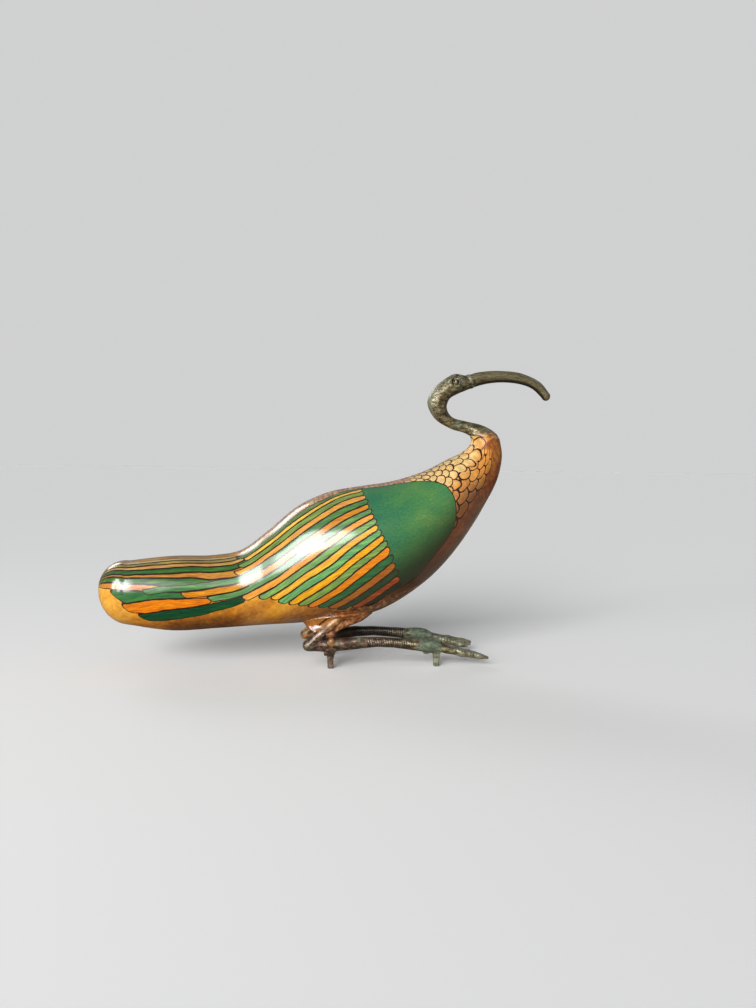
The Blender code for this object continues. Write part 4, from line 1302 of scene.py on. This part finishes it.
def melt_together(skins, grain, rounds):
    """One skin over several that overlap: they are cut into even squares by a voxel remesh, and
    smoothed for a few rounds, which leaves the soft inner corners of a casting."""
    piece = joined("casting", skins, 1)
    mesh = piece.data
    remesh = piece.modifiers.new("squares", "REMESH")
    remesh.mode = "VOXEL"
    remesh.voxel_size = grain
    soften = piece.modifiers.new("soften", "SMOOTH")
    soften.iterations = rounds
    soften.factor = 0.5
    melted = piece.evaluated_get(bpy.context.evaluated_depsgraph_get()).to_mesh()
    places, normals = np.empty((2, len(melted.vertices) * 3))
    melted.vertices.foreach_get("co", places)
    melted.vertices.foreach_get("normal", normals)
    corners = np.empty(len(melted.polygons) * 4, dtype=np.int32)
    melted.loops.foreach_get("vertex_index", corners)
    bpy.data.objects.remove(piece)
    bpy.data.meshes.remove(mesh)
    return places.reshape(-1, 3), corners.reshape(-1, 4), normals.reshape(-1, 3)


def leg_casting():
    """Points, faces and marks of the left leg; the right one is its mirror image."""
    hock = HOCK_DEPTH / 2
    skins = [tube_skin(tarsus_path(), 40),
             tube_skin(shank_path(), 36, 1.5),
             ball_skin((HOCK_X, LEG_Y, TARSUS_UP), (hock, HOCK_DEPTH / 2.1, hock)),
             ball_skin((HOCK_X + 4, LEG_Y, TARSUS_UP + 2), (hock, hock, hock)),
             ball_skin(KNOB_PLACE, KNOB_SIZES),
             peg_skin(REAR_PEG_X, TARSUS_UP),
             peg_skin(FRONT_PEG_X, TARSUS_UP - FOOT_DROP)]
    skins += [tube_skin(toe_path(splay, reach), 32) for splay, reach in TOES]
    points, faces, normals = melt_together(skins, METAL_GRAIN, GRAIN_ROUNDS)
    x, y, z = points.T
    ahead = x - REAR_PEG_X
    facing_up = normals[:, 2]

    # Engraved cross lines on the lower leg and finer ones on the toes
    stretch = (slope(ahead, LINES_FROM, 5) * slope(ahead, LINES_TO, -5)
               * slope(z, TARSUS_UP - 6, 1.5))
    bow = 0.06 * (z - TARSUS_UP - 1) ** 2
    wave = (0.5 + 0.5 * np.cos(math.tau * (ahead + bow) / LINE_PITCH)) ** 3
    cut = stretch * wave
    toe_wave = (0.5 + 0.5 * np.cos(math.tau * ahead / TOE_LINE_PITCH)) ** 4
    toe_line = slope(ahead, PEG_SPACING + 8, 4) * toe_wave * slope(facing_up, -0.3, 0.5)
    lumps = (waves(points, 11, 21) - 0.5) * 0.5 * slope(z, 0, 1.5)
    depth = LINE_DEPTH * cut + TOE_LINE_DEPTH * toe_line
    points = points + normals * (lumps - depth)[:, None]
    points[:, 2] = np.maximum(points[:, 2], 0)

    # Worn bright between the lines and on the pegs, and pale on the toes. Faces that look up or
    # sideways come out paler as painted light, with a painted glint near the toe tips and a painted
    # highlight along the shank
    lit_faces = np.clip(facing_up * 0.5 + 0.35 + np.abs(normals[:, 1]) * 0.3, 0, 1)
    on_side = np.clip(1 - np.abs(z - TARSUS_UP - 1) / 4, 0, 1)
    on_peg = slope(z, PEG_HEIGHT - 2, -2)
    worn_and_sheen = reduce(np.maximum, (
        0.15 * lit_faces + 0.75 * stretch * (1 - wave) * on_side,
        0.85 * slope(ahead, PEG_SPACING + 5, 8) * lit_faces,
        0.9 * bump(ahead, PEG_SPACING + 34, 7) * lit_faces,
        0.6 * slope(z, TARSUS_TOP, 4),
        0.7 * on_peg))
    # Dark in the engraved lines, and on faces that look down as painted shade
    hollow_and_shade = np.clip(cut * 0.8 + toe_line * 0.6 + np.clip(-facing_up, 0, 1) * 0.5, 0, 1)
    hollow_and_shade *= 1 - on_peg
    from_knob = np.linalg.norm((points - KNOB_PLACE) / KNOB_SIZES, axis=1)
    painted = np.maximum(slope(z, TARSUS_TOP + 3, 9) * (ahead < 30),
                         0.9 * slope(from_knob, 1.35, -0.2) * (y > LEG_Y + 3.6))
    warm = slope(ahead, 103.5, -90) * 0.9
    green = bump(ahead, PEG_SPACING - 8, 12) * 0.34 + 0.06 * slope(ahead, 60, 30)
    # The middle of the lower leg darkens, on the far leg only: painted shade under the body
    dark = slope(ahead, 78, -25) * slope(ahead, 0, 12)
    return (points, faces, np.stack([worn_and_sheen, hollow_and_shade, painted], axis=-1),
            np.stack([warm, green, dark], axis=-1))


leg_points, leg_faces, leg_marks, leg_tints = leg_casting()
FAR_SIDE = 0.8               # how dark the far leg is in the bird's shade, and how ochre its hock
splash = slope(leg_points[:, 0:1], HOCK_X + 12, -6)
for name, side, shaded_by in (("left_leg", 1, FAR_SIDE), ("right_leg", -1, 0)):
    turned = leg_faces[:, ::side]
    splashed = np.maximum(leg_marks, splash * (0, 0, shaded_by))
    add_piece("cast_" + name, [(leg_points * (1, side, 1), [turned.tolist()])],
              {"metal": [splashed], "tint": [leg_tints * (1, 1, shaded_by)]}, old_bronze, name)
